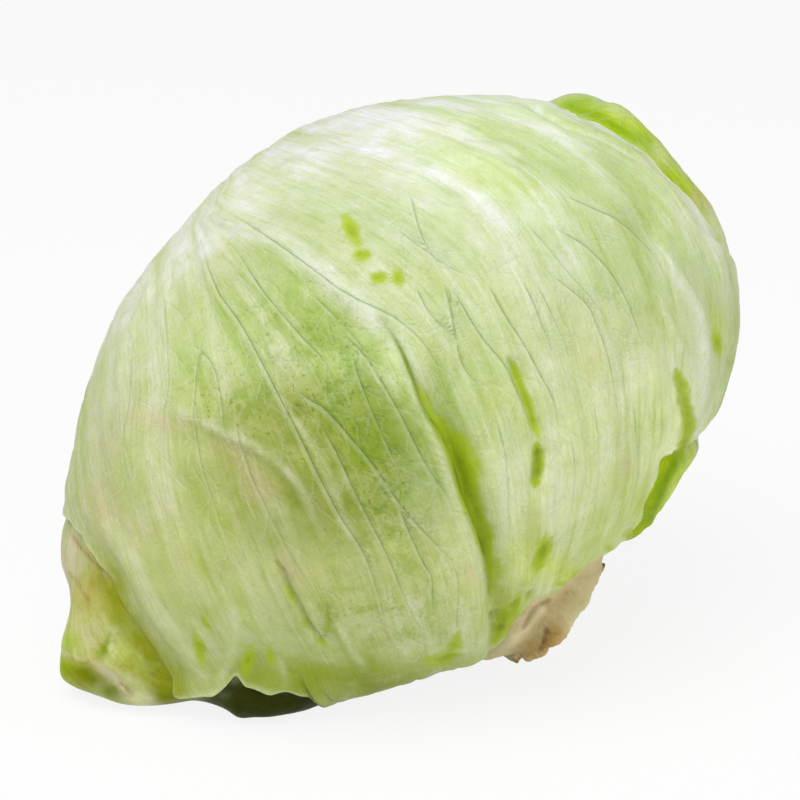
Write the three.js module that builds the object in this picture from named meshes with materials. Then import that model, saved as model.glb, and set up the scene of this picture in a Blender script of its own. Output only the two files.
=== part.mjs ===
// A picked head of crisp lettuce, lying on its side on a flat surface.
//
// Every leaf is a closed solid sheet that wraps round one common centre. The outermost leaf follows
// the skin of the head, and each leaf further in lies one layer deeper wherever another leaf covers
// it, so the leaves nest without touching. A cone-shaped stem runs from the cut butt to the middle,
// four broken leaf bases stand round its cut end, and the tight bud in the middle is one solid.
//
// Millimetres, +Z up. The origin is on the surface, under the middle of the head's bounding box.

import * as THREE from 'three';

// ---- Size of the head ----
const HEAD_LENGTH = 172;         // across the wide way, corner to corner of the closed head
const HEAD_WIDTH = 148;          // across, square to the length
const HEAD_DEPTH = 132;          // from the butt to the crown
const CENTRE_HEIGHT = 60.5;      // the leaves' common centre above the surface
const CENTRE_ASIDE = [0.2, 1.1];  // and across it, so that the origin is under the box's middle
const SKIN_OFFSET = [-1, -1];    // middle of the round skin from that centre: along RIGHT, along UP
const MEAN_RADIUS = (HEAD_LENGTH + HEAD_WIDTH + HEAD_DEPTH) / 6;
const SETTLING = 12;             // how softly the round skin runs into the flat it rests on
const INNER_SETTLING = 30;       // the same for the leaves inside, which are less flattened

// ---- Leaves ----
const LEAF_THICKNESS = 1.1;
const WRAPPER_PITCH = 3.3;      // depth taken by one loose outer leaf
const HEAD_LEAF_PITCH = 2.9;     // depth taken by one leaf of the closed head, with its crumples
const HEAD_LEAF_START = 16.5;    // depth of the first of them under the round skin
const HEAD_LEAF_COUNT = 8;
const LEAF_TURN = 137.5;         // degrees round the stem from one leaf to the next
const CLEAR_OF_MARGIN = 5;       // degrees past a leaf's margin that the next leaf stays deep
const COME_OUT_OVER = 24;        // degrees over which it then rises to the outside
const WRAPPER_RINGS = 9;
const WRAPPER_SPOKES = 28;
const HEAD_LEAF_RINGS = 6;
const HEAD_LEAF_SPOKES = 22;

// ---- Stem and broken leaf bases ----
const STEM_FACE_FROM_CENTRE = 65;
const STEM_TIP_FROM_CENTRE = 19;
const STEM_RADIUS = 14.4;        // at the cut face
const STEM_CLEAR_ANGLE = 14;     // degrees from the stem's axis that the leaves keep
const BUTT_HOLLOW = 7;           // depth of the hollow that the leaves leave round the cut end
const BUTT_HOLLOW_SPREAD = 17;   // degrees
const BASE_INNER_RADIUS = STEM_RADIUS + 0.5;
const BASE_START = 61.5;         // a broken base's lower end, from the centre along the stem
const BASE_BEVEL = 0.6;

// ---- Directions that the leaves are laid out in ----
// The head shows its fullest side to FRONT, which leans back by this angle.
const FRONT_LEAN = THREE.MathUtils.degToRad(20);
const RIGHT = new THREE.Vector3(1, 0, 0);
const UP = new THREE.Vector3(0, Math.sin(FRONT_LEAN), Math.cos(FRONT_LEAN));
const FRONT = new THREE.Vector3(0, -Math.cos(FRONT_LEAN), Math.sin(FRONT_LEAN));

const CENTRE = new THREE.Vector3(CENTRE_ASIDE[0], CENTRE_ASIDE[1], CENTRE_HEIGHT);
const { degToRad, radToDeg, smoothstep } = THREE.MathUtils;

function along(right, up, front) {
  return new THREE.Vector3()
    .addScaledVector(RIGHT, right)
    .addScaledVector(UP, up)
    .addScaledVector(FRONT, front);
}

// A direction from the centre: turned anticlockwise from RIGHT, and lifted towards FRONT.
function toward(turn, lift) {
  const t = degToRad(turn);
  const l = degToRad(lift);
  return along(Math.cos(t) * Math.cos(l), Math.sin(t) * Math.cos(l), Math.sin(l));
}

function degreesBetween(a, b) {
  return radToDeg(Math.acos(THREE.MathUtils.clamp(a.dot(b), -1, 1)));
}

// The head's own axes: its length rises to the right, and the stem points down to the right.
const LENGTH_AXIS = along(0.78, 0.615, -0.14).normalize();
const STEM_AXIS = along(0.55, -0.82, 0.06);
STEM_AXIS.addScaledVector(LENGTH_AXIS, -STEM_AXIS.dot(LENGTH_AXIS)).normalize();
const WIDTH_AXIS = new THREE.Vector3().crossVectors(STEM_AXIS, LENGTH_AXIS);

// Swellings and hollows of the whole head: direction, spread in degrees, height in mm.
const SWELLINGS = [
  { at: toward(52, 0), spread: 24, height: 3 },        // shoulder where the rear leaves fold over
  { at: toward(8, 0), spread: 16, height: 2 },         // right-hand end
  { at: toward(72, -5), spread: 13, height: -3 },      // dip between the crown and the shoulder
  { at: toward(120, 0), spread: 14, height: 1.5 },     // crown
  { at: toward(325, 0), spread: 14, height: -1.5 },    // above the butt, on the right
  { at: toward(240, 30), spread: 18, height: -2.5 },    // tuck at the lower left
  { at: toward(222, 2), spread: 15, height: 3 },       // left-hand end
];

// The pinched corner at the lower left, where one leaf's margin stands out from the head.
const CORNER = { at: toward(221, 12), spread: 10, height: 14 };

const WRAPPERS = [
  {
    name: 'front_wrapper_leaf', at: toward(150, 50), side: 98, tip: 92,
    dents: [{ at: toward(221, 16), spread: 26, depth: 44 }], corner: false, colour: 0xdbe4c4,
  },
  {
    name: 'left_wrapper_leaf', at: toward(212, -20), side: 74, tip: 70,
    dents: [], corner: true, colour: 0xc3cd8f,
  },
  {
    name: 'right_wrapper_leaf', at: toward(18, -28), side: 74, tip: 70,
    dents: [], corner: false, colour: 0xc2d391,
  },
  {
    name: 'under_wrapper_leaf', at: toward(265, -32), side: 84, tip: 78,
    dents: [], corner: false, colour: 0x9fb04a,
  },
  {
    name: 'back_wrapper_leaf', at: toward(75, -52), side: 86, tip: 80,
    dents: [], corner: false, colour: 0xb6cc7c,
  },
  {
    name: 'crown_wrapper_leaf', at: toward(60, 48), side: 84, tip: 80,
    dents: [], corner: false, colour: 0xd2deac,
  },
];

// Bases of leaves that were pulled off: angle round the stem from its FRONT side, how much of the
// way round each goes, how thick it is and how far its broken end stands out.
const BROKEN_BASES = [
  { name: 'broken_leaf_base_1', round: 2, width: 104, thickness: 4.6, height: 7 },
  { name: 'broken_leaf_base_2', round: 92, width: 60, thickness: 3.4, height: 5.2 },
  { name: 'broken_leaf_base_3', round: 170, width: 84, thickness: 4, height: 4.5 },
  { name: 'broken_leaf_base_4', round: 264, width: 74, thickness: 2.8, height: 2.9 },
];

function leafMaterial(colour) {
  return new THREE.MeshStandardMaterial({ color: colour, roughness: 0.45, metalness: 0 });
}

function bump(direction, swelling) {
  const ratio = degreesBetween(direction, swelling.at) / swelling.spread;
  return swelling.height * Math.exp(-ratio * ratio / 2);
}

// Smaller of two lengths, rounded where they meet.
function softMin(a, b, softness) {
  const overlap = Math.max(softness - Math.abs(a - b), 0) / softness;
  return Math.min(a, b) - overlap * overlap * softness / 4;
}

// The head rests on a flat: no radius in this direction reaches below it.
function settled(direction, radius, softness) {
  if (direction.z > -0.05) return radius;
  return softMin(radius, CENTRE_HEIGHT / -direction.z, softness);
}

// Distance from the centre to the round head in a direction, with the hollow round the stem.
function roundHead(direction) {
  const l = direction.dot(LENGTH_AXIS) / (HEAD_LENGTH / 2);
  const w = direction.dot(WIDTH_AXIS) / (HEAD_WIDTH / 2);
  const d = direction.dot(STEM_AXIS) / (HEAD_DEPTH / 2);
  const offset = along(SKIN_OFFSET[0], SKIN_OFFSET[1], 0);
  const hollow = bump(direction, { at: STEM_AXIS, spread: BUTT_HOLLOW_SPREAD, height: BUTT_HOLLOW });
  return 1 / Math.sqrt(l * l + w * w + d * d) + direction.dot(offset) - hollow;
}

// The same with its swellings: the skin of the head, before it settles.
function skin(direction) {
  return SWELLINGS.reduce((radius, swelling) => radius + bump(direction, swelling), roundHead(direction));
}

// A leaf is laid out in polar form round its middle: 0 degrees points to the stem.
function leafFrame(leaf) {
  const toStem = STEM_AXIS.clone().addScaledVector(leaf.at, -STEM_AXIS.dot(leaf.at)).normalize();
  const across = new THREE.Vector3().crossVectors(leaf.at, toStem);
  return { ...leaf, toStem, across, stemDistance: degreesBetween(leaf.at, STEM_AXIS) };
}

function leafDirection(leaf, radius, angle) {
  const r = degToRad(radius);
  const a = degToRad(angle);
  return new THREE.Vector3()
    .addScaledVector(leaf.at, Math.cos(r))
    .addScaledVector(leaf.toStem, Math.sin(r) * Math.cos(a))
    .addScaledVector(leaf.across, Math.sin(r) * Math.sin(a));
}

// How far the blade reaches from its middle, in degrees, with its base drawn out to the stem.
function reach(leaf, angle) {
  const a = degToRad(angle);
  const fromStem = Math.abs(radToDeg(Math.atan2(Math.sin(a), Math.cos(a))));
  const towardTip = Math.max(-Math.cos(a), 0);
  const toStem = leaf.stemDistance - STEM_CLEAR_ANGLE;
  const wave = 1.6 * Math.sin(5 * a + leaf.stemDistance) + 1.1 * Math.sin(8 * a + 1);
  let blade = leaf.side + (leaf.tip - leaf.side) * towardTip ** 1.5 + wave;
  for (const dent of leaf.dents) {
    const ratio = degreesBetween(leafDirection(leaf, leaf.side * 0.7, angle), dent.at) / dent.spread;
    blade -= dent.depth * Math.exp(-ratio * ratio / 2);
  }
  const base = Math.exp(-((fromStem / 22) ** 2));
  blade += Math.max(toStem - blade, 0) * base;
  const limit = toStem + 70 * smoothstep(fromStem, 20, 75);
  return Math.min(blade, limit);
}

// 1 where a leaf covers this direction, falling to 0 a little way past its margin.
function cover(leaf, direction) {
  const distance = degreesBetween(direction, leaf.at);
  const angle = radToDeg(Math.atan2(direction.dot(leaf.across), direction.dot(leaf.toStem)));
  const start = reach(leaf, angle) + CLEAR_OF_MARGIN;
  return 1 - smoothstep(distance, start, start + COME_OUT_OVER);
}

// Every leaf from the outside in, with the depth that it takes.
function makeLeafList() {
  const leaves = WRAPPERS.map((leaf) => leafFrame({
    ...leaf, pitch: WRAPPER_PITCH, rings: WRAPPER_RINGS, spokes: WRAPPER_SPOKES,
  }));
  for (let i = 0; i < HEAD_LEAF_COUNT; i++) {
    const round = new THREE.Quaternion().setFromAxisAngle(STEM_AXIS, degToRad(LEAF_TURN * i));
    const side = LENGTH_AXIS.clone().applyQuaternion(round);
    const at = side.addScaledVector(STEM_AXIS, -0.25).normalize();
    leaves.push(leafFrame({
      name: `head_leaf_${i + 1}`, at, side: 82, tip: 88, dents: [], corner: false,
      colour: new THREE.Color(0xdfe8bb).lerp(new THREE.Color(0xf3eebb), i / HEAD_LEAF_COUNT),
      pitch: HEAD_LEAF_PITCH, rings: HEAD_LEAF_RINGS, spokes: HEAD_LEAF_SPOKES,
    }));
  }
  return leaves;
}

const LEAVES = makeLeafList();

// Distance from the centre to the outside of the leaf with this place in the list.
function layer(index, direction) {
  const inside = index - WRAPPERS.length;
  if (inside >= 0) {
    const share = 1 - (HEAD_LEAF_START + HEAD_LEAF_PITCH * inside) / MEAN_RADIUS;
    return settled(direction, roundHead(direction), INNER_SETTLING) * share;
  }
  const covers = LEAVES.slice(0, index).map((outer) => cover(outer, direction));
  const corner = LEAVES[index].corner ? bump(direction, CORNER) * (1 - Math.max(...covers)) : 0;
  const depth = WRAPPER_PITCH * covers.reduce((sum, share) => sum + share, 0);
  return settled(direction, skin(direction) + corner, SETTLING) - depth;
}

function pointAt(direction, radius) {
  return CENTRE.clone().addScaledVector(direction, radius);
}

function geometryFrom(points, faces) {
  const geometry = new THREE.BufferGeometry();
  geometry.setAttribute('position', new THREE.Float32BufferAttribute(points.flatMap((p) => p.toArray()), 3));
  geometry.setIndex(faces.flat());
  geometry.computeVertexNormals();
  return geometry;
}

// A closed sheet: the outside and the inside are polar grids of the same spokes, joined at the margin.
function leafGeometry(index) {
  const leaf = LEAVES[index];
  const { rings, spokes } = leaf;
  const points = [];
  for (const inset of [0, LEAF_THICKNESS]) {
    points.push(pointAt(leaf.at, layer(index, leaf.at) - inset));
    for (let ring = 1; ring <= rings; ring++) {
      for (let spoke = 0; spoke < spokes; spoke++) {
        const angle = 360 * spoke / spokes;
        const direction = leafDirection(leaf, reach(leaf, angle) * ring / rings, angle);
        points.push(pointAt(direction, layer(index, direction) - inset));
      }
    }
  }
  const side = 1 + rings * spokes;
  const outer = (ring, spoke) => 1 + (ring - 1) * spokes + spoke % spokes;
  const inner = (ring, spoke) => side + outer(ring, spoke);
  const faces = [];
  for (let s = 0; s < spokes; s++) {
    faces.push([0, outer(1, s), outer(1, s + 1)]);
    faces.push([side, inner(1, s + 1), inner(1, s)]);
    for (let r = 1; r < rings; r++) {
      faces.push([outer(r, s), outer(r + 1, s), outer(r + 1, s + 1)]);
      faces.push([outer(r, s), outer(r + 1, s + 1), outer(r, s + 1)]);
      faces.push([inner(r, s), inner(r + 1, s + 1), inner(r + 1, s)]);
      faces.push([inner(r, s), inner(r, s + 1), inner(r + 1, s + 1)]);
    }
    faces.push([outer(rings, s), inner(rings, s), inner(rings, s + 1)]);
    faces.push([outer(rings, s), inner(rings, s + 1), outer(rings, s + 1)]);
  }
  return geometryFrom(points, faces);
}

// The bud: a closed round body with a socket for the tip of the stem.
function heartGeometry() {
  const spokes = 20;
  const socketDepth = STEM_TIP_FROM_CENTRE - 0.8;
  const angles = [STEM_CLEAR_ANGLE + 0.6];
  for (let angle = 26; angle < 176; angle += 15) angles.push(angle);
  const aside = LENGTH_AXIS;
  const round = WIDTH_AXIS;
  const directionAt = (angle, spoke) => {
    const a = degToRad(angle);
    const s = 2 * Math.PI * spoke / spokes;
    return new THREE.Vector3()
      .addScaledVector(STEM_AXIS, Math.cos(a))
      .addScaledVector(aside, Math.sin(a) * Math.cos(s))
      .addScaledVector(round, Math.sin(a) * Math.sin(s));
  };
  const rows = [];
  const socket = [];
  for (let s = 0; s < spokes; s++) {
    socket.push(pointAt(directionAt(STEM_CLEAR_ANGLE, s), socketDepth / Math.cos(degToRad(STEM_CLEAR_ANGLE))));
  }
  rows.push(socket);
  for (const angle of angles) {
    const row = [];
    for (let s = 0; s < spokes; s++) {
      const direction = directionAt(angle, s);
      row.push(pointAt(direction, layer(LEAVES.length, direction)));
    }
    rows.push(row);
  }
  const crown = STEM_AXIS.clone().negate();
  const points = [pointAt(STEM_AXIS, socketDepth), ...rows.flat(), pointAt(crown, layer(LEAVES.length, crown))];
  const at = (row, spoke) => 1 + row * spokes + spoke % spokes;
  const last = rows.length - 1;
  const faces = [];
  for (let s = 0; s < spokes; s++) {
    faces.push([0, at(0, s), at(0, s + 1)]);
    for (let r = 0; r < last; r++) {
      faces.push([at(r, s), at(r + 1, s), at(r + 1, s + 1)]);
      faces.push([at(r, s), at(r + 1, s + 1), at(r, s + 1)]);
    }
    faces.push([at(last, s), points.length - 1, at(last, s + 1)]);
  }
  return geometryFrom(points, faces);
}

// Turns a mesh so that its own +Y runs along the stem from the centre, and its +X faces FRONT.
function standOnStem(mesh) {
  const faceFront = FRONT.clone().addScaledVector(STEM_AXIS, -FRONT.dot(STEM_AXIS)).normalize();
  const aside = new THREE.Vector3().crossVectors(faceFront, STEM_AXIS);
  mesh.quaternion.setFromRotationMatrix(new THREE.Matrix4().makeBasis(faceFront, STEM_AXIS, aside));
  mesh.position.copy(CENTRE);
  return mesh;
}

function makeStem() {
  const lengthAt = (share) => THREE.MathUtils.lerp(STEM_TIP_FROM_CENTRE, STEM_FACE_FROM_CENTRE, share);
  const taper = STEM_RADIUS / STEM_FACE_FROM_CENTRE;
  const profile = [new THREE.Vector2(0, lengthAt(0))];
  for (const share of [0.02, 0.3, 0.6, 0.85, 0.97]) {
    profile.push(new THREE.Vector2(taper * lengthAt(share) - (share < 0.1 ? 2 : 0), lengthAt(share)));
  }
  profile.push(new THREE.Vector2(STEM_RADIUS - 1.2, lengthAt(1)));
  profile.push(new THREE.Vector2(0, lengthAt(1)));
  const geometry = new THREE.LatheGeometry(profile, 18);
  const material = new THREE.MeshStandardMaterial({ color: 0xcdb98c, roughness: 0.6, metalness: 0 });
  const stem = standOnStem(new THREE.Mesh(geometry, material));
  stem.name = 'stem';
  return stem;
}

// One broken base: a curved plate against the side of the stem's cut end.
function makeBrokenBase(base) {
  const half = degToRad(base.width / 2);
  const middle = degToRad(base.round);
  const outline = new THREE.Shape();
  outline.absarc(0, 0, BASE_INNER_RADIUS + BASE_BEVEL, middle - half, middle + half, false);
  outline.absarc(0, 0, BASE_INNER_RADIUS + base.thickness - BASE_BEVEL, middle + half, middle - half, true);
  const geometry = new THREE.ExtrudeGeometry(outline, {
    depth: base.height - 2 * BASE_BEVEL,
    bevelEnabled: true,
    bevelThickness: BASE_BEVEL,
    bevelSize: BASE_BEVEL,
    bevelSegments: 1,
    curveSegments: 5,
  });
  geometry.rotateX(-Math.PI / 2);
  geometry.translate(0, BASE_START + BASE_BEVEL, 0);
  const material = new THREE.MeshStandardMaterial({ color: 0xc9a878, roughness: 0.7, metalness: 0 });
  const mesh = standOnStem(new THREE.Mesh(geometry, material));
  mesh.name = base.name;
  return mesh;
}

const group = new THREE.Group();
LEAVES.forEach((leaf, index) => {
  const mesh = new THREE.Mesh(leafGeometry(index), leafMaterial(leaf.colour));
  mesh.name = leaf.name;
  group.add(mesh);
});
const heart = new THREE.Mesh(heartGeometry(), leafMaterial(0xf0e9b0));
heart.name = 'heart';
group.add(heart);
group.add(makeStem());
for (const base of BROKEN_BASES) group.add(makeBrokenBase(base));

export default group;
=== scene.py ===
import itertools
import math

import bpy
import numpy as np
from mathutils import Matrix
from mathutils.kdtree import KDTree


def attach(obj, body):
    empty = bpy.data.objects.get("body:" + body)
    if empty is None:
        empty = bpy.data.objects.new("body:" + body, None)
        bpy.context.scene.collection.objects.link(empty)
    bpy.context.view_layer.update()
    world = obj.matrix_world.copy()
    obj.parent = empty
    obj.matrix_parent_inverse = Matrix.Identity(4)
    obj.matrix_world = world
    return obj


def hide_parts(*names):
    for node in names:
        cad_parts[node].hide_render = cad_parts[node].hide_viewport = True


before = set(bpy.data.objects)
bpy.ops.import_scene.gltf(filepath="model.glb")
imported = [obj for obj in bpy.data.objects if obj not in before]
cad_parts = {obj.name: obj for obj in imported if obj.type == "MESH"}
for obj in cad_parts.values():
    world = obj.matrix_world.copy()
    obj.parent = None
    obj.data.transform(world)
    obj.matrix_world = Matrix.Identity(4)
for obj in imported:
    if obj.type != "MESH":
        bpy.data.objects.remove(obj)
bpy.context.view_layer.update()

# A picked head of crisp lettuce on its side. Lengths are millimetres until a mesh is made.
# The head is laid out from one common centre: a place on it is a direction from there.

MM = 0.001

# ---- The head, in the same values as the solids ----
HEAD_LENGTH = 172
HEAD_WIDTH = 148
HEAD_DEPTH = 132
CENTRE = np.array([0.2, 1.1, 60.5])
SKIN_OFFSET = (-1, -1)
MEAN_RADIUS = (HEAD_LENGTH + HEAD_WIDTH + HEAD_DEPTH) / 6
SETTLING = 12
INNER_SETTLING = 30
WRAPPER_PITCH = 3.3
HEAD_LEAF_PITCH = 2.9
HEAD_LEAF_START = 16.5
HEAD_LEAF_COUNT = 8
LEAF_TURN = 137.5
STEM_FACE_FROM_CENTRE = 65
STEM_TIP_FROM_CENTRE = 19
STEM_RADIUS = 14.4
STEM_CLEAR_ANGLE = 14
BUTT_HOLLOW = 7
BUTT_HOLLOW_SPREAD = 17

# ---- How the leaves are finished ----
BLADE = 0.55                # thickness of a wrapper leaf's blade
CLEAR_OF_MARGIN = 1.0       # degrees past a margin that the next leaf stays deep
COME_OUT_OVER = 13          # degrees over which it rises to the outside
MARGIN_PRESS = 1.5          # how far a margin is pressed towards the leaf under it
PRESS_OVER = 9              # degrees over which that happens

FRONT_LEAN = math.radians(20)
RIGHT = np.array([1.0, 0.0, 0.0])
UP = np.array([0.0, math.sin(FRONT_LEAN), math.cos(FRONT_LEAN)])
FRONT = np.array([0.0, -math.cos(FRONT_LEAN), math.sin(FRONT_LEAN)])
EYE_DISTANCE = 800          # from the centre, along FRONT


def unit(v):
    return v / np.linalg.norm(v, axis=-1, keepdims=True)


def along(right, up, front):
    return right * RIGHT + up * UP + front * FRONT


def toward(turn, lift):
    """A direction turned anticlockwise from RIGHT, and lifted towards FRONT."""
    t, l = math.radians(turn), math.radians(lift)
    return along(math.cos(t) * math.cos(l), math.sin(t) * math.cos(l), math.sin(l))


LENGTH_AXIS = unit(along(0.78, 0.615, -0.14))
STEM_AXIS = along(0.55, -0.82, 0.06)
STEM_AXIS = unit(STEM_AXIS - LENGTH_AXIS * (STEM_AXIS @ LENGTH_AXIS))
WIDTH_AXIS = np.cross(STEM_AXIS, LENGTH_AXIS)


def degrees_between(dirs, at):
    return np.degrees(np.arccos(np.clip(dirs @ at, -1, 1)))


def step(x, start, end):
    """0 before start, 1 after end, smooth between."""
    t = np.clip((x - start) / (end - start), 0, 1)
    return t * t * (3 - 2 * t)


def bell(x):
    return np.exp(-x * x)


# ---- Noise ----
def value_noise(p, seed):
    """Smooth noise from -1 to 1 at points p, one cell to a unit."""
    cell = np.floor(p).astype(np.int64)
    f = p - cell
    f = f * f * (3 - 2 * f)
    total = np.zeros(len(p))
    for corner in itertools.product((0, 1), repeat=3):
        c = cell + np.array(corner)
        h = c[:, 0] * 374761393 + c[:, 1] * 668265263 + c[:, 2] * 2147483647 + seed * 974634777
        h = h & 0xFFFFFFFF
        h = ((h ^ (h >> 13)) * 1274126177) & 0xFFFFFFFF
        h = (h ^ (h >> 16)) & 0xFFFFFF
        w = np.where(np.array(corner), f, 1 - f).prod(axis=1)
        total += w * (h / 0x7FFFFF - 1)
    return total


def crumple(p, seed, octaves=3):
    """Noise of several sizes, each about half as large and as strong as the last."""
    total = np.zeros(len(p))
    for octave in range(octaves):
        total += value_noise(p * 2.03 ** octave + 17.3 * octave, seed + octave) * 0.55 ** octave
    return total


# ---- The round head ----
def swell(dirs, at, spread, height):
    """A soft swelling round a direction. Its spread is in degrees."""
    return height * np.exp(-(degrees_between(dirs, at) / spread) ** 2 / 2)


def round_head(dirs):
    """Distance from the centre to the plain head: an ellipsoid, set off a little, with the hollow
    round the stem."""
    l = dirs @ LENGTH_AXIS / (HEAD_LENGTH / 2)
    w = dirs @ WIDTH_AXIS / (HEAD_WIDTH / 2)
    d = dirs @ STEM_AXIS / (HEAD_DEPTH / 2)
    hollow = swell(dirs, STEM_AXIS, BUTT_HOLLOW_SPREAD, BUTT_HOLLOW)
    return 1 / np.sqrt(l * l + w * w + d * d) + dirs @ along(*SKIN_OFFSET, 0) - hollow


# Broad swellings and flats of the head: a direction, its spread in degrees and its height.
SWELLINGS = (
    (toward(52, 0), 24, 3),
    (toward(8, 0), 16, 2),
    (toward(72, -5), 13, -3),
    (toward(120, 0), 14, 1.5),
    (toward(325, 0), 14, -1.5),
    (toward(240, 30), 18, -2.5),
    (toward(222, 2), 15, 3),
    (toward(183, 0), 11, -3.2),
    (toward(146, 0), 10, -1.2),
    (toward(14, 0), 6, 1.8),
    (toward(332, 6), 8, 2.6),
    (toward(275, 4), 6, -3.6),
    (toward(276, 11), 7, -3.0),
    (toward(290, 4), 6, 4.7),
    (toward(201, 3), 5, 3.6),
    (toward(27, 2), 5, 2.2),
    (toward(106, 2), 12, 1.3),
    (toward(342, 3), 5, -2.0),
    (toward(330, 5), 4, 1.6),
)
# The pinched corner at the lower left: its body, its blunt tip and the lobes beside it.
CORNER = (
    (toward(221, 13), 8, 11.5),
    (toward(218.5, 9), 3.5, 3.5),
    (toward(231, 14), 5, 6.5),
    (toward(243, 20), 6, 9),
    (toward(250, 16), 5, 6),
    (toward(231.8, 8), 4, 6.2),
    (toward(213.8, 8), 3.6, -3.0),
    (toward(219.6, 8), 3.2, 2.0),
    (toward(249, 17), 6, 3.5),
)


def skin(dirs):
    """Distance from the centre to the head's outside, without folds and veins."""
    return round_head(dirs) + sum(swell(dirs, *s) for s in SWELLINGS + CORNER)


def soft_min(a, b, softness):
    """The smaller of two, rounded where they meet."""
    overlap = np.maximum(softness - np.abs(a - b), 0) / softness
    return np.minimum(a, b) - overlap * overlap * softness / 4


LEVEL = -0.05               # upward part of the direction below which the floor is in reach


def settled(dirs, radius, softness):
    """The head rests on a flat: no radius reaches below it."""
    floor = CENTRE[2] / -np.minimum(dirs[:, 2], LEVEL)
    return np.where(dirs[:, 2] > LEVEL, radius, soft_min(radius, floor, softness))


# ---- Places and lines on the head, as it shows itself to FRONT ----
NEAREST, FARTHEST, STRIDE = 92, -17, 3.0    # depths towards FRONT between which the skin is looked for
HALVINGS = 12


def seen(points, below=0.0):
    """Directions of places given in millimetres right and up of the head's middle, as FRONT shows
    them on a surface so far below the skin."""
    points = np.atleast_2d(np.array(points, float))

    def place(depth):
        shrink = (EYE_DISTANCE - depth) / EYE_DISTANCE
        return (points[:, :1] * RIGHT + points[:, 1:] * UP) * shrink[:, None] + depth[:, None] * FRONT

    def outside(depth):
        p = place(depth)
        return np.linalg.norm(p, axis=1) - skin(unit(p)) + below

    depths = np.arange(NEAREST, FARTHEST, -STRIDE)
    out = np.array([outside(np.full(len(points), d)) for d in depths])
    reached = (out < 0).any(axis=0)
    far = depths[np.where(reached, (out < 0).argmax(axis=0), out.argmin(axis=0))]
    near = np.where(reached, far + STRIDE, far)
    for _ in range(HALVINGS):
        middle = (near + far) / 2
        free = outside(middle) > 0
        near, far = np.where(free, middle, near), np.where(free, far, middle)
    return unit(place((near + far) / 2))


def smooth_path(points, every=0.8):
    """Even points on a curve through the given ones."""
    p = np.array(points, float)
    p = np.vstack([2 * p[0] - p[1], p, 2 * p[-1] - p[-2]])
    out = []
    for i in range(1, len(p) - 2):
        n = max(2, int(np.linalg.norm(p[i + 1] - p[i]) / every))
        t = (np.arange(n) / n)[:, None]
        a, b, c, d = p[i - 1], p[i], p[i + 1], p[i + 2]
        out.append(0.5 * (2 * b + (c - a) * t + (2 * a - 5 * b + 4 * c - d) * t ** 2
                          + (3 * b - a - 3 * c + d) * t ** 3))
    return np.vstack(out + [p[-2:-1]])


AT_ONCE = 20000             # directions compared with a line in one go


class Line:
    """A line on the head, measured from in millimetres. Its right is the right of one who sees it
    run downward."""

    def __init__(self, dirs):
        self.at = dirs
        ahead = np.gradient(dirs, axis=0)
        self.ahead = unit(ahead - dirs * (ahead * dirs).sum(axis=1, keepdims=True))
        self.right = np.cross(dirs, self.ahead)
        steps = np.linalg.norm(np.diff(dirs, axis=0), axis=1)
        self.run = np.concatenate([[0], np.cumsum(steps)]) * MEAN_RADIUS
        self.length = self.run[-1]
        middle = unit(dirs.mean(axis=0))
        self.middle = middle
        self.width = (dirs @ middle).min()

    def measure(self, dirs, out_to):
        """Indices of the directions near the line, how far to its right each lies, its place
        along the line from 0 to 1, and how far past the ends it is."""
        limit = math.cos(min(math.acos(self.width) + out_to / MEAN_RADIUS, 3.1))
        near = np.nonzero(dirs @ self.middle > limit)[0]
        best = np.empty(len(near), int)
        for start in range(0, len(near), AT_ONCE):
            part = near[start:start + AT_ONCE]
            best[start:start + AT_ONCE] = (dirs[part] @ self.at.T).argmax(axis=1)
        delta = dirs[near] - self.at[best]
        across = (delta * self.right[best]).sum(axis=1) * MEAN_RADIUS
        ahead = (delta * self.ahead[best]).sum(axis=1) * MEAN_RADIUS
        run = self.run[best] + ahead
        past = np.maximum(np.maximum(-run, run - self.length), 0)
        return near, across, np.clip(run / self.length, 0, 1), past


def line_seen(points):
    return Line(seen(smooth_path(points)))


def as_seen(points):
    """Places as FRONT shows them, in millimetres right and up of the head's middle."""
    local = points - CENTRE
    size = EYE_DISTANCE / (EYE_DISTANCE - local @ FRONT)
    return np.column_stack([local @ RIGHT * size, local @ UP * size])


def beside(path, places, out_to):
    """Indices of the seen places near a smooth path, how far to its right each lies, its place
    along the path from 0 to 1, and how far past the ends it is."""
    at = smooth_path(path)
    low, high = at.min(axis=0) - out_to, at.max(axis=0) + out_to
    near = np.nonzero(((places > low) & (places < high)).all(axis=1))[0]
    ahead = unit(np.gradient(at, axis=0))
    run = np.concatenate([[0], np.cumsum(np.linalg.norm(np.diff(at, axis=0), axis=1))])
    best = ((places[near, None] - at) ** 2).sum(axis=2).argmin(axis=1)
    delta = places[near] - at[best]
    across = delta[:, 1] * ahead[best, 0] - delta[:, 0] * ahead[best, 1]
    there = run[best] + (delta * ahead[best]).sum(axis=1)
    past = np.maximum(np.maximum(-there, there - run[-1]), 0)
    return near, across, np.clip(there / run[-1], 0, 1), past


def off_oval(at, half, turn, places):
    """How far the seen places lie from an oval's middle: 1 on its rim."""
    t = math.radians(turn)
    x, y = (places - np.array(at)).T
    return np.hypot((x * math.cos(t) + y * math.sin(t)) / half[0],
                    (y * math.cos(t) - x * math.sin(t)) / half[1])


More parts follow.
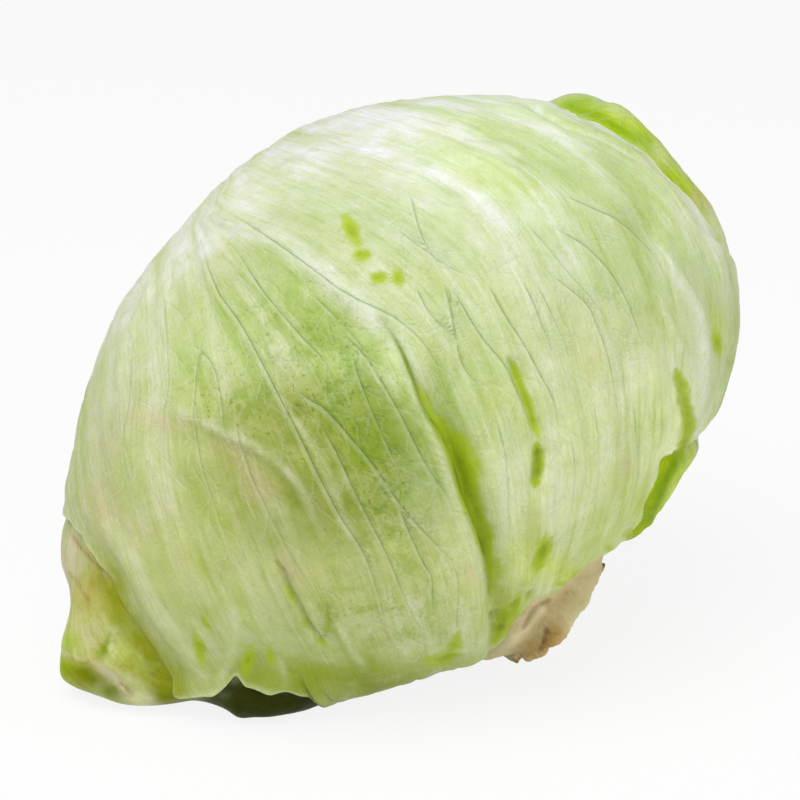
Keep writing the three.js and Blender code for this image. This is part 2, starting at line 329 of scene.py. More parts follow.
# ---- Folds, grooves and dimples pressed into the skin ----
class Crease:
    """A groove with its own edges. left and right are how wide each side is, lip how far the left
    edge swells, and lean how far that edge is pushed over the groove."""

    def __init__(self, points, depth, left, right, lip=0, lip_width=4, lean=0, start=0.15, end=0.15):
        self.line = line_seen(points)
        self.depth, self.left, self.right = depth, left, right
        self.lip, self.lip_width, self.lean = lip, lip_width, lean
        self.start, self.end = start, end

    def press(self, dirs, height, shift):
        reach_out = 3 * max(self.left, self.right, self.lip_width)
        near, across, share, past = self.line.measure(dirs, reach_out)
        strength = step(share, 0, self.start) * (1 - step(share, 1 - self.end, 1)) * bell(past / 2)
        groove = np.where(across < 0, bell(across / self.left), bell(across / self.right))
        lip = bell((across + self.lip_width * 0.9) / self.lip_width)
        height[near] += strength * (self.lip * lip - self.depth * groove)
        if self.lean:
            idx = (dirs[near] @ self.line.at.T).argmax(axis=1)
            push = self.lean * strength * bell((across + self.lip_width * 0.35) / (self.lip_width * 0.55))
            shift[near] += self.line.right[idx] * push[:, None]


class Spot:
    """An oval on the head: a middle, half its width and height, and its turn in degrees."""

    def __init__(self, at, half, turn=0, height=0):
        self.at = seen([at])[0]
        t = math.radians(turn)
        side = unit(np.cross(UP, self.at))
        up = np.cross(self.at, side)
        self.x = (side * math.cos(t) + up * math.sin(t)) * MEAN_RADIUS / half[0]
        self.y = (up * math.cos(t) - side * math.sin(t)) * MEAN_RADIUS / half[1]
        self.height = height

    def press(self, dirs, height, shift):
        same_side = dirs @ self.at > 0.5
        inside = np.where(same_side, np.exp(-((dirs @ self.x) ** 2 + (dirs @ self.y) ** 2)), 0)
        height += self.height * inside


MAIN_FOLD = [(-9, 26), (-4.8, 20.4), (-0.5, 14.4), (2.6, 7), (5, 0.2), (7.2, -4.1), (10.1, -9.1),
             (12, -13.9), (13.7, -19.9), (15.1, -24), (16.6, -27), (18.5, -32.4), (19.9, -38.9),
             (20.6, -45.1), (20.9, -49.2), (21.4, -54.5), (21.4, -60)]
PALE_BAND = [(-50, 43), (-39, 41.5), (-29, 38.5), (-19, 31), (-9.5, 22.5), (-1, 13.5)]
SLOT = [(25.5, 11), (26.9, 8.2), (28.1, 4.6), (30.2, -0.7), (31.9, -5.5), (33.4, -9)]
SLOT_END = [(33, -10.5), (33.1, -13), (32.9, -16.1), (32.4, -20)]
SLIT = [(-29.5, -38.6), (-29, -40.5), (-27.9, -43.6), (-26.9, -46), (-25, -49.4), (-23, -53.3),
        (-20.6, -56.6), (-18.6, -58.6), (-15.4, -60.5)]
SLIT_FORK = [(-18.4, -48), (-17.9, -51), (-17.6, -54), (-18.4, -58)]
RIGHT_GROOVE = [(66.4, 7.5), (67.2, 4.8), (68, 0), (69, -4.8), (68, -10.6), (66.6, -15)]
RIGHT_RIDGE = [(61, 37), (62.6, 35.3), (67.2, 28.8), (71.3, 21.6), (73, 13.2), (72.4, 0), (70.6, -8)]
SIDE_RIDGE = [(61, 26), (62.4, 24), (65.3, 16.8), (68.6, 10.8), (71.3, 6)]
LOW_RIDGE = [(-73.5, -21.8), (-69, -32), (-65, -39.1), (-58.1, -53.3), (-52.8, -59), (-43, -68)]
VALLEY = [(-72.4, -38.6), (-70.4, -42.6), (-68.4, -47.6), (-66.4, -52), (-62.6, -57.8), (-59.2, -62.6),
          (-56, -68), (-54, -72)]
TIP_CRACK = [(-80, -41), (-77.8, -43.4), (-76, -46), (-74.4, -49.4)]

FRONT_FORMS = [
    Crease(MAIN_FOLD, 5.4, 1.7, 5.4, lip=2.2, lip_width=5.2, lean=1.5, start=0.36, end=0.06),
    Crease(PALE_BAND, -1.0, 3.0, 3.4),
    Crease([(-6, 31), (0, 24.5), (6, 16), (10, 6), (12.5, -4)], 0.7, 3, 3, lip=0.5, lip_width=4),
    Crease(SLOT, 1.9, 1.0, 1.6, lip=0.5, lip_width=2.4, lean=0.2),
    Crease(SLOT_END, 2.8, 1.5, 1.7, lip=0.6, lip_width=3, lean=0.2, start=0.3, end=0.2),
    Crease(SLIT, 1.8, 0.7, 1.2, lip=0.5, lip_width=2, lean=0.6, start=0.1, end=0.3),
    Crease(SLIT_FORK, 1.3, 0.7, 0.9, lip=0.3, lip_width=1.6, lean=0.3),
    Crease(RIGHT_GROOVE, 1.6, 1.3, 1.7, lip=0.4, lip_width=3, start=0.3, end=0.1),
    Crease(RIGHT_RIDGE, -1.3, 1.6, 1.8),
    Crease(SIDE_RIDGE, -0.8, 1.1, 1.4),
    Crease(LOW_RIDGE, -1.2, 3.5, 4.5, start=0.2, end=0.3),
    Crease(VALLEY, 2.4, 3.2, 4.0, start=0.2, end=0.1),
    Crease([(-36, -50), (-39, -56), (-40.5, -62), (-41.5, -67)], -1.1, 1.8, 1.8),
    Crease([(-14.9, -54.2), (-12, -59.5), (-8.2, -64.3), (-4, -66)], -0.7, 1.2, 1.6),
    Crease([(-4.8, -45.6), (-2.4, -52.8), (-0.5, -59.5), (2.4, -63)], -0.6, 1.2, 1.8),
    Crease([(24, 4), (24.5, -8), (27, -20), (28.5, -32), (28, -42)], -0.8, 2.2, 3.0),
    Crease([(38, -4), (41, -16), (40.5, -30), (38, -40)], -0.6, 2.0, 2.6),
    Crease([(46, 6), (50, -8), (50.5, -22), (47, -36)], -0.5, 1.6, 2.4),
    Crease([(31, 24), (38, 12), (44, -2), (45.5, -18)], 0.5, 1.8, 2.2),
    Crease([(44, 30), (51, 16), (55.5, 2), (56, -14)], 0.5, 1.8, 2.2),
    Crease([(-58, 30), (-66, 14), (-67, 0)], -0.6, 2.2, 2.6),
    Crease([(-57, -1.5), (-49, -4.6), (-41, -8.6), (-34, -11.8), (-24.7, -20), (-20, -30)], -0.7, 1.4, 3.5),
    Crease([(31, 72), (40.8, 66.2), (48.5, 63.6), (55.2, 60), (60.5, 57.4)], 1.4, 2.4, 0.5,
           start=0.2, end=0.2),
    Crease([(-30, 60), (-14, 52), (4, 46), (22, 40), (34, 30)], -0.5, 2.6, 3.2),
    Crease([(6, 62), (22, 56), (38, 48), (52, 38)], -0.5, 2.4, 3.0),
    Spot((-11.5, 40.5), (1.4, 4.0), 24, -0.9),
    Spot((-9.4, 35), (2.0, 1.2), 0, -0.9),
    Spot((-5.3, 29.4), (1.7, 1.3), 0, -0.9),
    Spot((-0.3, 29.2), (1.3, 2.1), 8, -0.9),
    Spot((-48, -60), (1.4, 4.0), 12, -1.5),
    Spot((-46.8, -53), (1.0, 2.4), 20, -0.7),
    Spot((-35.2, -62.4), (2.6, 3.4), -12, -1.7),
    Spot((-30.5, -61.5), (1.6, 3.6), 8, -0.9),
    Spot((24.4, -54.4), (1.9, 4.6), -28, -1.8),
    Spot((27.9, -49.4), (1.0, 4.4), -12, -1.3),
    Spot((34.3, -36.8), (1.8, 4.8), -14, -1.5),
    Spot((30.7, -47), (0.9, 2.8), -18, -0.9),
    Spot((12.4, -61.5), (2.4, 4.6), -40, -1.4),
    Spot((53.4, 54.2), (3.9, 2.0), -28, -0.7),
    Spot((59, 41), (2.8, 5.4), 35, -1.0),
    Spot((44, 55), (5, 1.8), -25, -0.6),
    Spot((75.5, 17), (2.2, 5), 12, -1.4),
    Spot((77, 30), (3, 5), 10, 1.2),
    Spot((79.5, 10), (3, 2.2), 20, -1.8),
    Spot((21.5, 63), (5, 1.6), -20, -0.8),
    Spot((30, 58.5), (4, 1.4), -25, -0.7),
    Spot((55.2, -33), (2.0, 1.6), 0, 1.1),
    Spot((-13, 1), (7, 9), 20, 0.9),
    Spot((2, -40), (9, 14), -10, 1.0),
    Spot((-50, -48), (9, 12), 30, 0.8),
    Spot((45, -14), (9, 14), 0, 0.8),
]
# The left leaf's own folds, where it comes out at the corner.
LEFT_FORMS = [
    Crease([(-68.2, -54.2), (-69.8, -57.4), (-71.2, -60.4), (-71.8, -62)], 3.2, 0.9, 1.8,
           lip=0.6, lip_width=2),
    Crease([(-80, -61.4), (-78, -62), (-73.4, -63.4), (-69.6, -66), (-65, -70.4)], -1.8, 1.4, 1.5,
           start=0.3, end=0.1),
    Crease([(-78, -66.2), (-75, -67.4), (-71, -69), (-67, -71)], 2.0, 2.0, 1.8, start=0.4, end=0.2),
    Crease(VALLEY, 2.2, 2.4, 3.4, start=0.2, end=0.1),
    Crease([(-67.4, -58.6), (-63.4, -63), (-60, -66.6), (-58, -70)], -1.4, 1.4, 1.6),
    Crease([(-66.4, -63.8), (-61.6, -66.8), (-58, -69.4)], 1.6, 0.8, 1.1),
    Crease(TIP_CRACK, 0.9, 0.5, 0.8),
    Crease([(-79, -36), (-76, -42), (-73.6, -48), (-72.6, -53)], -0.9, 1.8, 1.8),
    Spot((-80, -58), (2.6, 2.4), 0, 1.4),
    Spot((-75.4, -56), (3.2, 3.2), 0, 1.0),
]


# Folds along which every grid is drawn closer: the line, how strongly, and how wide.
GATHERED = [(FRONT_FORMS[0].line, 0.5, 5.5), (FRONT_FORMS[3].line, 0.4, 3), (FRONT_FORMS[4].line, 0.4, 3),
            (FRONT_FORMS[5].line, 0.5, 2.6), (FRONT_FORMS[7].line, 0.4, 3)]


def press_forms(forms, dirs):
    height, shift = np.zeros(len(dirs)), np.zeros((len(dirs), 3))
    for form in forms:
        form.press(dirs, height, shift)
    return height, shift


# Where a leaf's grid is drawn closer: a direction, how strongly, and over how many degrees.
DETAILED = {
    "left": [(toward(226, 14), 0.62, 17)],
    "right": [(toward(50, 2), 0.5, 14), (toward(338, 6), 0.4, 11)],
}


def gather(leaf, dirs):
    """Draws a leaf's grid closer together round its details and along its folds."""
    for at, share, spread in DETAILED.get(leaf.name, ()):
        pull = share * bell(degrees_between(dirs, at) / spread)
        dirs = unit(dirs + (at * (dirs @ at)[:, None] - dirs) * pull[:, None])
    for line, share, width in GATHERED:
        near, across, _, past = line.measure(dirs, 3 * width)
        idx = (dirs[near] @ line.at.T).argmax(axis=1)
        pull = -share * across * bell(across / width) * bell(past / width) / MEAN_RADIUS
        dirs[near] = unit(dirs[near] + line.right[idx] * pull[:, None])
    return dirs


# ---- Leaves ----
# The front leaf's margin, once round: stretches that show, given as places on the front, and
# stretches behind the head, given as turns and lifts.
FRONT_MARGIN = [
    ("shows", [(32.4, 72), (37.2, 71.5), (42.5, 68.6), (48.5, 65.8), (52.8, 63.1), (56.9, 60.9),
               (60.2, 58.4), (63.8, 54.6), (67.6, 50.4), (70.6, 47.2), (73.9, 41.8), (76.6, 36.5)]),
    ("behind", [(18, -8), (8, -14), (-2, -12)]),
    ("shows", [(66, -12.4), (62.6, -14.2), (61.4, -18.2), (60.7, -21.6), (58.6, -25.2), (58.3, -29.3),
               (56.6, -31.2), (53.4, -34), (51, -36.2), (50, -39), (49, -42), (46.5, -43.8),
               (43.4, -44.6), (41, -45.6), (39, -44.6), (37, -46.4), (32, -47.8), (30, -51), (28, -53.4),
               (25.6, -56.4), (22.3, -59), (17.3, -61.4)]),
    ("behind", [(-80, -7), (-86, -5)]),
    ("shows", [(3.4, -65.2), (1, -65.8), (-2, -66.8), (-5, -68.6)]),
    ("behind", [(-90, -4), (-94, -2)]),
    ("shows", [(-17.6, -71.6), (-20, -70.8), (-24, -71.2), (-27.6, -70.3), (-31, -70.6), (-34.6, -69.4),
               (-37.6, -69), (-38.9, -66.2), (-39.9, -65.6), (-41, -68.2), (-44.4, -70.6), (-49, -71.6)]),
    ("shows", [(-53.8, -72), (-56, -68), (-59.2, -62.6), (-62.6, -57.8), (-66.4, -52), (-68.4, -47.6),
               (-70.6, -42), (-74, -37.2), (-76, -34.3), (-77.6, -31)]),
    ("behind", [(194, -8), (184, -20), (168, -36), (150, -42), (130, -41), (110, -36), (92, -27),
                (78, -14), (70, -5)]),
]
ANGLES = np.arange(-180, 180.1, 0.5)

# The six outer leaves, from the outside in: each one's middle, and how far it reaches to its sides
# and to its tip, in degrees.
WRAPPERS = [
    dict(name="front", at=toward(150, 50), side=98, tip=92, dents=[(toward(221, 16), 26, 44)],
         middle=toward(145, 66), margin=FRONT_MARGIN),
    dict(name="left", at=toward(212, -20), side=74, tip=70),
    dict(name="right", at=toward(18, -28), side=74, tip=70),
    dict(name="under", at=toward(265, -32), side=84, tip=78),
    dict(name="back", at=toward(75, -52), side=86, tip=80),
    dict(name="crown", at=toward(60, 48), side=84, tip=80),
]


def margin_path(parts):
    """Directions along a margin given in stretches."""
    places = []
    for kind, points in parts:
        if kind == "shows":
            places.append(seen(smooth_path(points, 0.4), MARGIN_PRESS))
        else:
            places.append(np.array([toward(*p) for p in points]))
    corners = np.vstack(places)
    out = []
    for a, b in zip(corners[:-1], corners[1:]):
        n = max(1, int(math.degrees(math.acos(min(a @ b, 1))) / 0.4))
        t = (np.arange(n) / n)[:, None]
        out.append(unit(a * (1 - t) + b * t))
    return np.vstack(out + [corners[-1:]])


def smooth_by_angle(angle, radius, at, width):
    """Radius at each of the angles in at, from unevenly placed ones."""
    apart = (at[:, None] - angle + 180) % 360 - 180
    weight = np.exp(-(apart / width) ** 2) + 1e-14 * np.exp(-np.abs(apart) / 4)
    return weight @ radius / weight.sum(axis=1)


class Leaf:
    """A leaf laid out in polar form round its middle: 0 degrees points to the stem."""

    def __init__(self, name, at, side, tip, dents=(), margin=(), middle=None, inner=None):
        self.name, self.side, self.tip = name, side, tip
        self.dents, self.inner = dents, inner
        self.face(at)
        if middle is None:
            self.table = self.shape(ANGLES)
        else:
            self.face(middle)
            radius, angle = self.polar(margin_path(margin + margin[:1]))
            self.table = smooth_by_angle(angle, radius, ANGLES, 0.5)
        self.broad = smooth_by_angle(ANGLES[:-1], self.table[:-1], ANGLES, 7)

    def face(self, at):
        self.at = at
        self.to_stem = unit(STEM_AXIS - at * (STEM_AXIS @ at))
        self.across = np.cross(at, self.to_stem)
        self.stem_distance = float(degrees_between(STEM_AXIS[None], at)[0])

    def polar(self, dirs):
        angle = np.degrees(np.arctan2(dirs @ self.across, dirs @ self.to_stem))
        return degrees_between(dirs, self.at), angle

    def directions(self, radius, angle):
        r, a = np.radians(radius)[:, None], np.radians(angle)[:, None]
        return np.cos(r) * self.at + np.sin(r) * (np.cos(a) * self.to_stem + np.sin(a) * self.across)

    def shape(self, angle):
        """How far the blade reaches from its middle, in degrees, as in the solids."""
        a = np.radians(angle)
        from_stem = np.abs(np.degrees(np.arctan2(np.sin(a), np.cos(a))))
        toward_tip = np.maximum(-np.cos(a), 0)
        to_stem = self.stem_distance - STEM_CLEAR_ANGLE
        wave = 1.6 * np.sin(5 * a + self.stem_distance) + 1.1 * np.sin(8 * a + 1)
        blade = self.side + (self.tip - self.side) * toward_tip ** 1.5 + wave
        for at, spread, depth in self.dents:
            ratio = degrees_between(self.directions(np.full(len(a), self.side * 0.7), angle), at) / spread
            blade = blade - depth * np.exp(-ratio * ratio / 2)
        blade = blade + np.maximum(to_stem - blade, 0) * np.exp(-((from_stem / 22) ** 2))
        return np.minimum(blade, to_stem + 70 * step(from_stem, 20, 75))

    def reach(self, angle):
        return np.interp((angle + 180) % 360 - 180, ANGLES, self.table)

    def broad_reach(self, angle):
        return np.interp((angle + 180) % 360 - 180, ANGLES, self.broad)

    def to_margin(self, dirs):
        distance, angle = self.polar(dirs)
        return self.reach(angle) - distance

    def cover(self, dirs):
        return 1 - step(-self.to_margin(dirs), CLEAR_OF_MARGIN, CLEAR_OF_MARGIN + COME_OUT_OVER)


def make_leaves():
    leaves = [Leaf(**w) for w in WRAPPERS]
    for i in range(HEAD_LEAF_COUNT):
        turn = math.radians(LEAF_TURN * i)
        side = LENGTH_AXIS * math.cos(turn) + WIDTH_AXIS * math.sin(turn)
        leaves.append(Leaf(f"head_{i + 1}", unit(side - STEM_AXIS * 0.25), 82, 88, inner=i))
    return leaves


LEAVES = make_leaves()
CORNER_CALM = 9             # how far the left leaf's veins are counted away in the pinched corner
CALM_SPREAD = 24            # degrees over which that fades
BRIGHT_SWELLING = (toward(57, -4), 7.5, 5.2)    # the right leaf's, where it shows past the front

# The way the front leaf's ribs and pleats run, from the rib at the upper left to the stem.
PLEATS = [line_seen(points) for points in (
    [(-62, 42), (-71, 20), (-74, 0), (-72, -20), (-65, -40), (-56, -60)],
    [(-57, 44), (-59, 24), (-58, 4), (-58, -14), (-52, -36), (-42, -56), (-36, -68)],
    [(-51, 44), (-47, 20), (-42.5, 0), (-36, -20), (-27, -42), (-18, -60), (-14, -68)],
    [(-48.5, 41), (-44.2, 27.1), (-37.7, 17.5), (-29.3, 1.2), (-22.3, -12.5), (-14.6, -27.6), (-8.2, -37.7),
     (-3.4, -52.8), (1.7, -64)],
    [(-46, 42), (-32.9, 27), (-22, 12), (-14, -3), (-6.5, -18), (3, -36), (8, -50), (10, -62)],
    [(-44, 43.5), (-29, 38.5), (-19, 31), (-9.5, 22.5), (-1, 13.5), (5, 0.2), (10.1, -9.1), (15.1, -24),
     (19.9, -38.9), (21.4, -58)],
    [(-40, 50), (-22, 42), (-4, 33), (8, 22), (16, 8), (22, -8), (26, -26), (27, -45), (25.4, -55)],
    [(-34, 58), (-12, 50), (6, 40), (18, 26), (26, 8), (31, -9), (33, -25), (32, -42), (29, -50)],
    [(-26, 64), (0, 58), (18, 48), (30, 32), (38, 12), (42, -8), (42, -26), (38, -44)],
    [(-10, 70), (14, 64), (32, 54), (45, 36), (52, 16), (54, -4), (53, -22), (48, -40)],
    [(14, 70), (34, 62), (52, 48), (62, 30), (66, 12), (66, -8), (60, -26)],
    [(40, 66), (58, 56), (69, 42), (75, 24), (75, 6), (70, -12)],
)]
PLEAT_APART = 11            # from one pleat to the next, as across_pleats counts
FRONT_BASE = toward(128, -14)


def across_pleats(dirs):
    """How far across the front leaf's pleats each direction lies."""
    total, weights = np.zeros(len(dirs)), np.full(len(dirs), 1e-12)
    for number, line in enumerate(PLEATS):
        near, across, _, past = line.measure(dirs, 400)
        weight = 1 / (across ** 2 + past ** 2 + 3) ** 2
        total[near] += weight * (number * PLEAT_APART + across)
        weights[near] += weight
    return total / weights


def fan(leaf, dirs):
    """Coordinates that run with the leaf's grain: round its base or across its pleats, and away."""
    if leaf.name == "front":
        away = np.radians(degrees_between(dirs, FRONT_BASE)) * MEAN_RADIUS
        return np.column_stack([across_pleats(dirs), 0 * away, away])
    base = STEM_AXIS
    x = unit(np.cross(base, FRONT))
    y = np.cross(base, x)
    side = unit(np.stack([dirs @ x, dirs @ y], axis=1) + 1e-9)
    away = np.radians(degrees_between(dirs, base))
    return np.column_stack([side * MEAN_RADIUS, away * MEAN_RADIUS])


def own_relief(leaf, index, dirs):
    """Puckers and ripples of one leaf."""
    grain = fan(leaf, dirs)
    seed = 40 + 9 * index
    streaks = crumple(grain * (0.16, 0.16, 0.035), seed, 3)
    puckers = crumple(dirs * MEAN_RADIUS / 9, seed + 4, 3)
    blisters = np.abs(crumple(dirs * MEAN_RADIUS / 4.2, seed + 6, 2))
    margin = leaf.to_margin(dirs)
    edge = 1 - step(margin, 0, 12)
    ripple = value_noise(dirs * MEAN_RADIUS / 6.5, seed + 8) * edge
    if leaf.name == "front":
        fine = crumple(grain * (0.42, 1, 0.022), seed + 10, 3)
        return 0.34 * streaks + 0.13 * fine + 0.26 * puckers + 0.12 * blisters + 0.45 * ripple
    return 0.34 * streaks + 0.36 * puckers + 0.18 * blisters + 0.55 * ripple


def layer(index, dirs):
    """Distance from the centre to the outside of the leaf with this place in the list, and how
    far its points are pushed sideways."""
    leaf = LEAVES[index]
    if leaf.inner is not None:
        share = 1 - (HEAD_LEAF_START + HEAD_LEAF_PITCH * leaf.inner) / MEAN_RADIUS
        radius = settled(dirs, round_head(dirs), INNER_SETTLING) * share
        return radius + 0.5 * crumple(dirs * 9, index, 2), np.zeros_like(dirs)
    covers = [outer.cover(dirs) for outer in LEAVES[:index]]
    open_share = 1 - np.max(covers, axis=0) if covers else 1.0
    form, shift = press_forms(FRONT_FORMS, dirs)
    if index:
        under_front = covers[0]
        form, shift = form * 0.7 * under_front, shift * under_front[:, None]
    proud = form + own_relief(leaf, index, dirs)
    if leaf.name == "right":
        proud = proud + swell(dirs, *BRIGHT_SWELLING) * open_share
    if leaf.name == "left":
        proud = proud + press_forms(LEFT_FORMS, dirs)[0] * open_share
    press = MARGIN_PRESS * (1 - step(leaf.to_margin(dirs), 0, PRESS_OVER))
    depth = WRAPPER_PITCH * sum(covers) + press
    return settled(dirs, skin(dirs) + proud, SETTLING) - depth, shift


# ---- Veins ----
FRONT_VEINS = [
    (1.0, [(-48.5, 41), (-44.2, 27.1), (-37.7, 17.5), (-29.3, 1.2), (-22.3, -12.5), (-14.6, -27.6),
           (-8.2, -37.7), (-3.4, -52.8), (1.7, -62.2)]),
    (0.8, [(-39.4, 36), (-32.9, 26.2), (-24.2, 15.8), (-17.5, 8.4), (-15.8, 1)]),
    (1.0, [(-27, 4), (-21.6, 0), (-17.5, -2.6), (-10.8, -10.3), (-6.5, -15.6), (-0.7, -24), (3.8, -29.3),
           (7.4, -32.9), (11.8, -37.2), (18.5, -42.7)]),
    (0.8, [(-0.7, -24), (1.2, -29.3), (5.3, -38.2), (7.4, -41.8), (7.7, -49.2), (9, -56)]),
    (0.6, [(11.8, -37.2), (13.4, -42.5), (13.2, -52.8), (13, -58)]),
    (0.8, [(-19.9, -4.3), (-15.6, -12), (-11.3, -21.1), (-3.1, -37), (3.1, -51.6), (7.4, -58.8)]),
    (0.8, [(-15.4, 17.8), (-7.7, 9.4), (-1.7, -0.5), (5.5, -14.6), (10.3, -23), (12.7, -30.7),
           (12.9, -35.8)]),
    (0.7, [(-11.5, 12), (-9.4, 4.3), (-3.8, -9.1), (2.2, -21.6)]),
    (0.5, [(-4.8, -7.4), (0.2, -17.8)]),
    (0.5, [(-4.8, -17.3), (-0.2, -23.8)]),
    (0.9, [(10.6, 28.8), (12.7, 18.7), (14.9, 8.6), (19.7, 2.6), (22.1, 0.5)]),
    (0.9, [(12, 28.1), (18.7, 16.3), (24.7, 8.6), (28.6, -0.2), (31.2, -8.9)]),
    (0.9, [(-43.4, 46.3), (-27.6, 36), (-12.5, 25), (0.2, 18.7), (7.9, 10.6), (12.7, -2.4)]),
    (0.7, [(3.4, 28.1), (7.4, 20.6), (13.7, 13.9)]),
    (0.9, [(20.9, 28.8), (24.5, 21.4), (30.5, 12), (36.7, -0.2), (39, -9)]),
    (0.7, [(28.8, 28.8), (31.7, 23.8), (35.3, 15.4), (38.5, 6)]),
    (0.6, [(32.2, 28.8), (38.4, 16.3), (42, 6)]),
    (0.7, [(-21.8, 26.2), (-11.3, 15.4), (-5, 6)]),
    (0.7, [(-50.9, 14.6), (-45.1, 8.6), (-43, 0.2), (-41, -12)]),
    (0.8, [(37.9, 49), (52.6, 42.7), (60.5, 35.3), (65, 27)]),
    (0.8, [(35, 42.5), (46.3, 35.3), (52.8, 26.9), (57.5, 16), (60.7, 6.5)]),
    (0.7, [(34, 32), (44.6, 23.3), (47.5, 17.5), (50.2, 8.9), (51.6, 0), (52.5, -12)]),
    (0.6, [(28, 45), (34, 38), (42, 29), (49.5, 20), (54.7, 8)]),
    (0.7, [(2, 50), (5, 40), (9, 33), (10.6, 28.8)]),
    (0.7, [(-2, 42), (6, 36), (14, 31), (20.9, 28.8)]),
    (0.6, [(-57, 30), (-56, 18), (-55.4, 4), (-57, -12), (-55, -26)]),
    (0.6, [(-64, 14), (-65, 0), (-66, -14), (-62, -30)]),
    (0.6, [(-46, 20), (-49, 4), (-48, -14), (-42, -32), (-37, -48)]),
    (0.6, [(-40, 2), (-37, -14), (-30, -30), (-22, -44), (-14, -56)]),
    (0.6, [(22, -2), (25, -14), (26, -28), (27, -40)]),
    (0.6, [(40, -6), (41, -18), (40, -30), (38, -42)]),
    (0.6, [(46, 2), (47, -12), (46.5, -26), (44, -38)]),
    (0.6, [(56, 2), (57, -10), (56, -22), (52, -33)]),
]
STEP = 0.8                  # how far apart the samples of a vein lie
FARTHEST_VEIN = 6.0         # distances to a vein are counted up to here


class Veins:
    """Sampled veins: places, the way each runs there, its size, its number and how far along it is."""

    def __init__(self, at, ahead, size, number, run):
        self.at, self.ahead, self.size, self.number, self.run = at, ahead, size, number, run

    @staticmethod
    def from_lines(lines):
        parts = []
        for number, (dirs, size) in enumerate(lines):
            line = Line(dirs)
            parts.append((dirs, line.ahead, size, np.full(len(dirs), number), line.run))
        return Veins(*(np.concatenate(p) for p in zip(*parts)))

    @staticmethod
    def grown(start, heading, length, bend, size, wobble, rng):
        """Veins from many starts at once, each turning steadily by bend degrees to a millimetre."""
        at = start
        go = unit(heading - start * (heading * start).sum(axis=1, keepdims=True))
        steps = int(length.max() / STEP) + 1
        out = []
        for k in range(steps):
            share = k * STEP / length
            alive = share <= 1
            taper = size * (1 - 0.65 * np.clip(share, 0, 1))
            numbers = np.arange(len(at))[alive]
            out.append((at[alive], go[alive], taper[alive], numbers, np.full(len(numbers), k * STEP)))
            at = unit(at + go * STEP / MEAN_RADIUS)
            go = unit(go - at * (go * at).sum(axis=1, keepdims=True))
            turn = np.radians(bend * STEP + rng.normal(size=len(at)) * wobble)[:, None]
            go = go * np.cos(turn) + np.cross(at, go) * np.sin(turn)
        return Veins(*(np.concatenate(p) for p in zip(*out)))

    def and_also(self, other):
        names = ("at", "ahead", "size", "number", "run")
        return Veins(*(np.concatenate([getattr(self, n), getattr(other, n)]) for n in names))

    def branches(self, rng, every, length, share):
        """Side veins, leaving alternately left and right."""
        phase = rng.uniform(0, 1, self.number.max() + 1)[self.number]
        count = np.floor(self.run / every + phase).astype(int)
        new = np.zeros(len(count), bool)
        order = np.lexsort((self.run, self.number))
        same = self.number[order][1:] == self.number[order][:-1]
        new[order[1:]] = same & (count[order][1:] != count[order][:-1])
        at, ahead = self.at[new], self.ahead[new]
        side = np.where(count[new] % 2 == 0, 1, -1)
        angle = np.radians(rng.uniform(24, 46, len(at)) * side)[:, None]
        heading = ahead * np.cos(angle) + np.cross(at, ahead) * np.sin(angle)
        return Veins.grown(at, heading, length * rng.uniform(0.5, 1.25, len(at)),
                           -side * rng.uniform(0.3, 1.5, len(at)), self.size[new] * share, 1.6, rng)


def veins_of(leaf, index):
    """The leaf's ribs and main veins, and its small ones."""
    rng = np.random.default_rng(300 + index)
    if leaf.name == "front":
        lines = []
        for size, points in FRONT_VEINS:
            dirs = seen(smooth_path(points))
            run = np.linspace(0, 1, len(dirs))
            lines.append((dirs, size * np.interp(run, [0, 0.15, 0.7, 1], [0.2, 1, 0.8, 0.15])))
        main = Veins.from_lines(lines)
        small = main.branches(rng, 6.5, 11, 0.6)
    else:
        edge = leaf.reach(np.array([0.0]))
        base = leaf.directions(edge, np.array([0.0]))
        length = np.radians(edge + leaf.tip * 0.85) * MEAN_RADIUS
        rib = Veins.grown(base, leaf.at[None], length, np.array([0.0]), np.array([3.4]), 0.4, rng)
        rib.size = 3.2 * (1 - rib.run / length) ** 1.3 + 0.3
        every = 6.5
        count = np.floor(rib.run / every).astype(int)
        new = np.concatenate([[False], (count[1:] != count[:-1]) & (rib.run[1:] < length - 8)])
        side = np.where(count[new] % 2 == 0, 1, -1)
        at, ahead = rib.at[new], rib.ahead[new]
        angle = np.radians(rng.uniform(28, 46, len(at)) * side)[:, None]
        heading = ahead * np.cos(angle) + np.cross(at, ahead) * np.sin(angle)
        side_veins = Veins.grown(at, heading, (length - rib.run[new]) * 0.62 + 18,
                                 -side * rng.uniform(-0.1, 0.35, len(at)), np.full(len(at), 1.15), 0.8, rng)
        main = rib.and_also(side_veins)
        small = side_veins.branches(rng, 8, 17, 0.6)
    twigs = small.branches(rng, 4.5, 5.5, 0.8)
    return main, small.and_also(twigs)


def measure_veins(veins, dirs):
    """Distance to the nearest vein, the same with a sign for its side, and that vein's size."""
    right = np.cross(veins.at, veins.ahead)
    tree = KDTree(len(veins.at))
    for i, p in enumerate((veins.at * MEAN_RADIUS).tolist()):
        tree.insert(p, i)
    tree.balance()
    found = [tree.find(p)[1:] for p in (dirs * MEAN_RADIUS).tolist()]
    idx = np.array([f[0] for f in found])
    distance = np.minimum(np.array([f[1] for f in found]), FARTHEST_VEIN)
    across = ((dirs - veins.at[idx]) * right[idx]).sum(axis=1) * MEAN_RADIUS
    return distance, np.clip(across, -FARTHEST_VEIN, FARTHEST_VEIN), veins.size[idx]


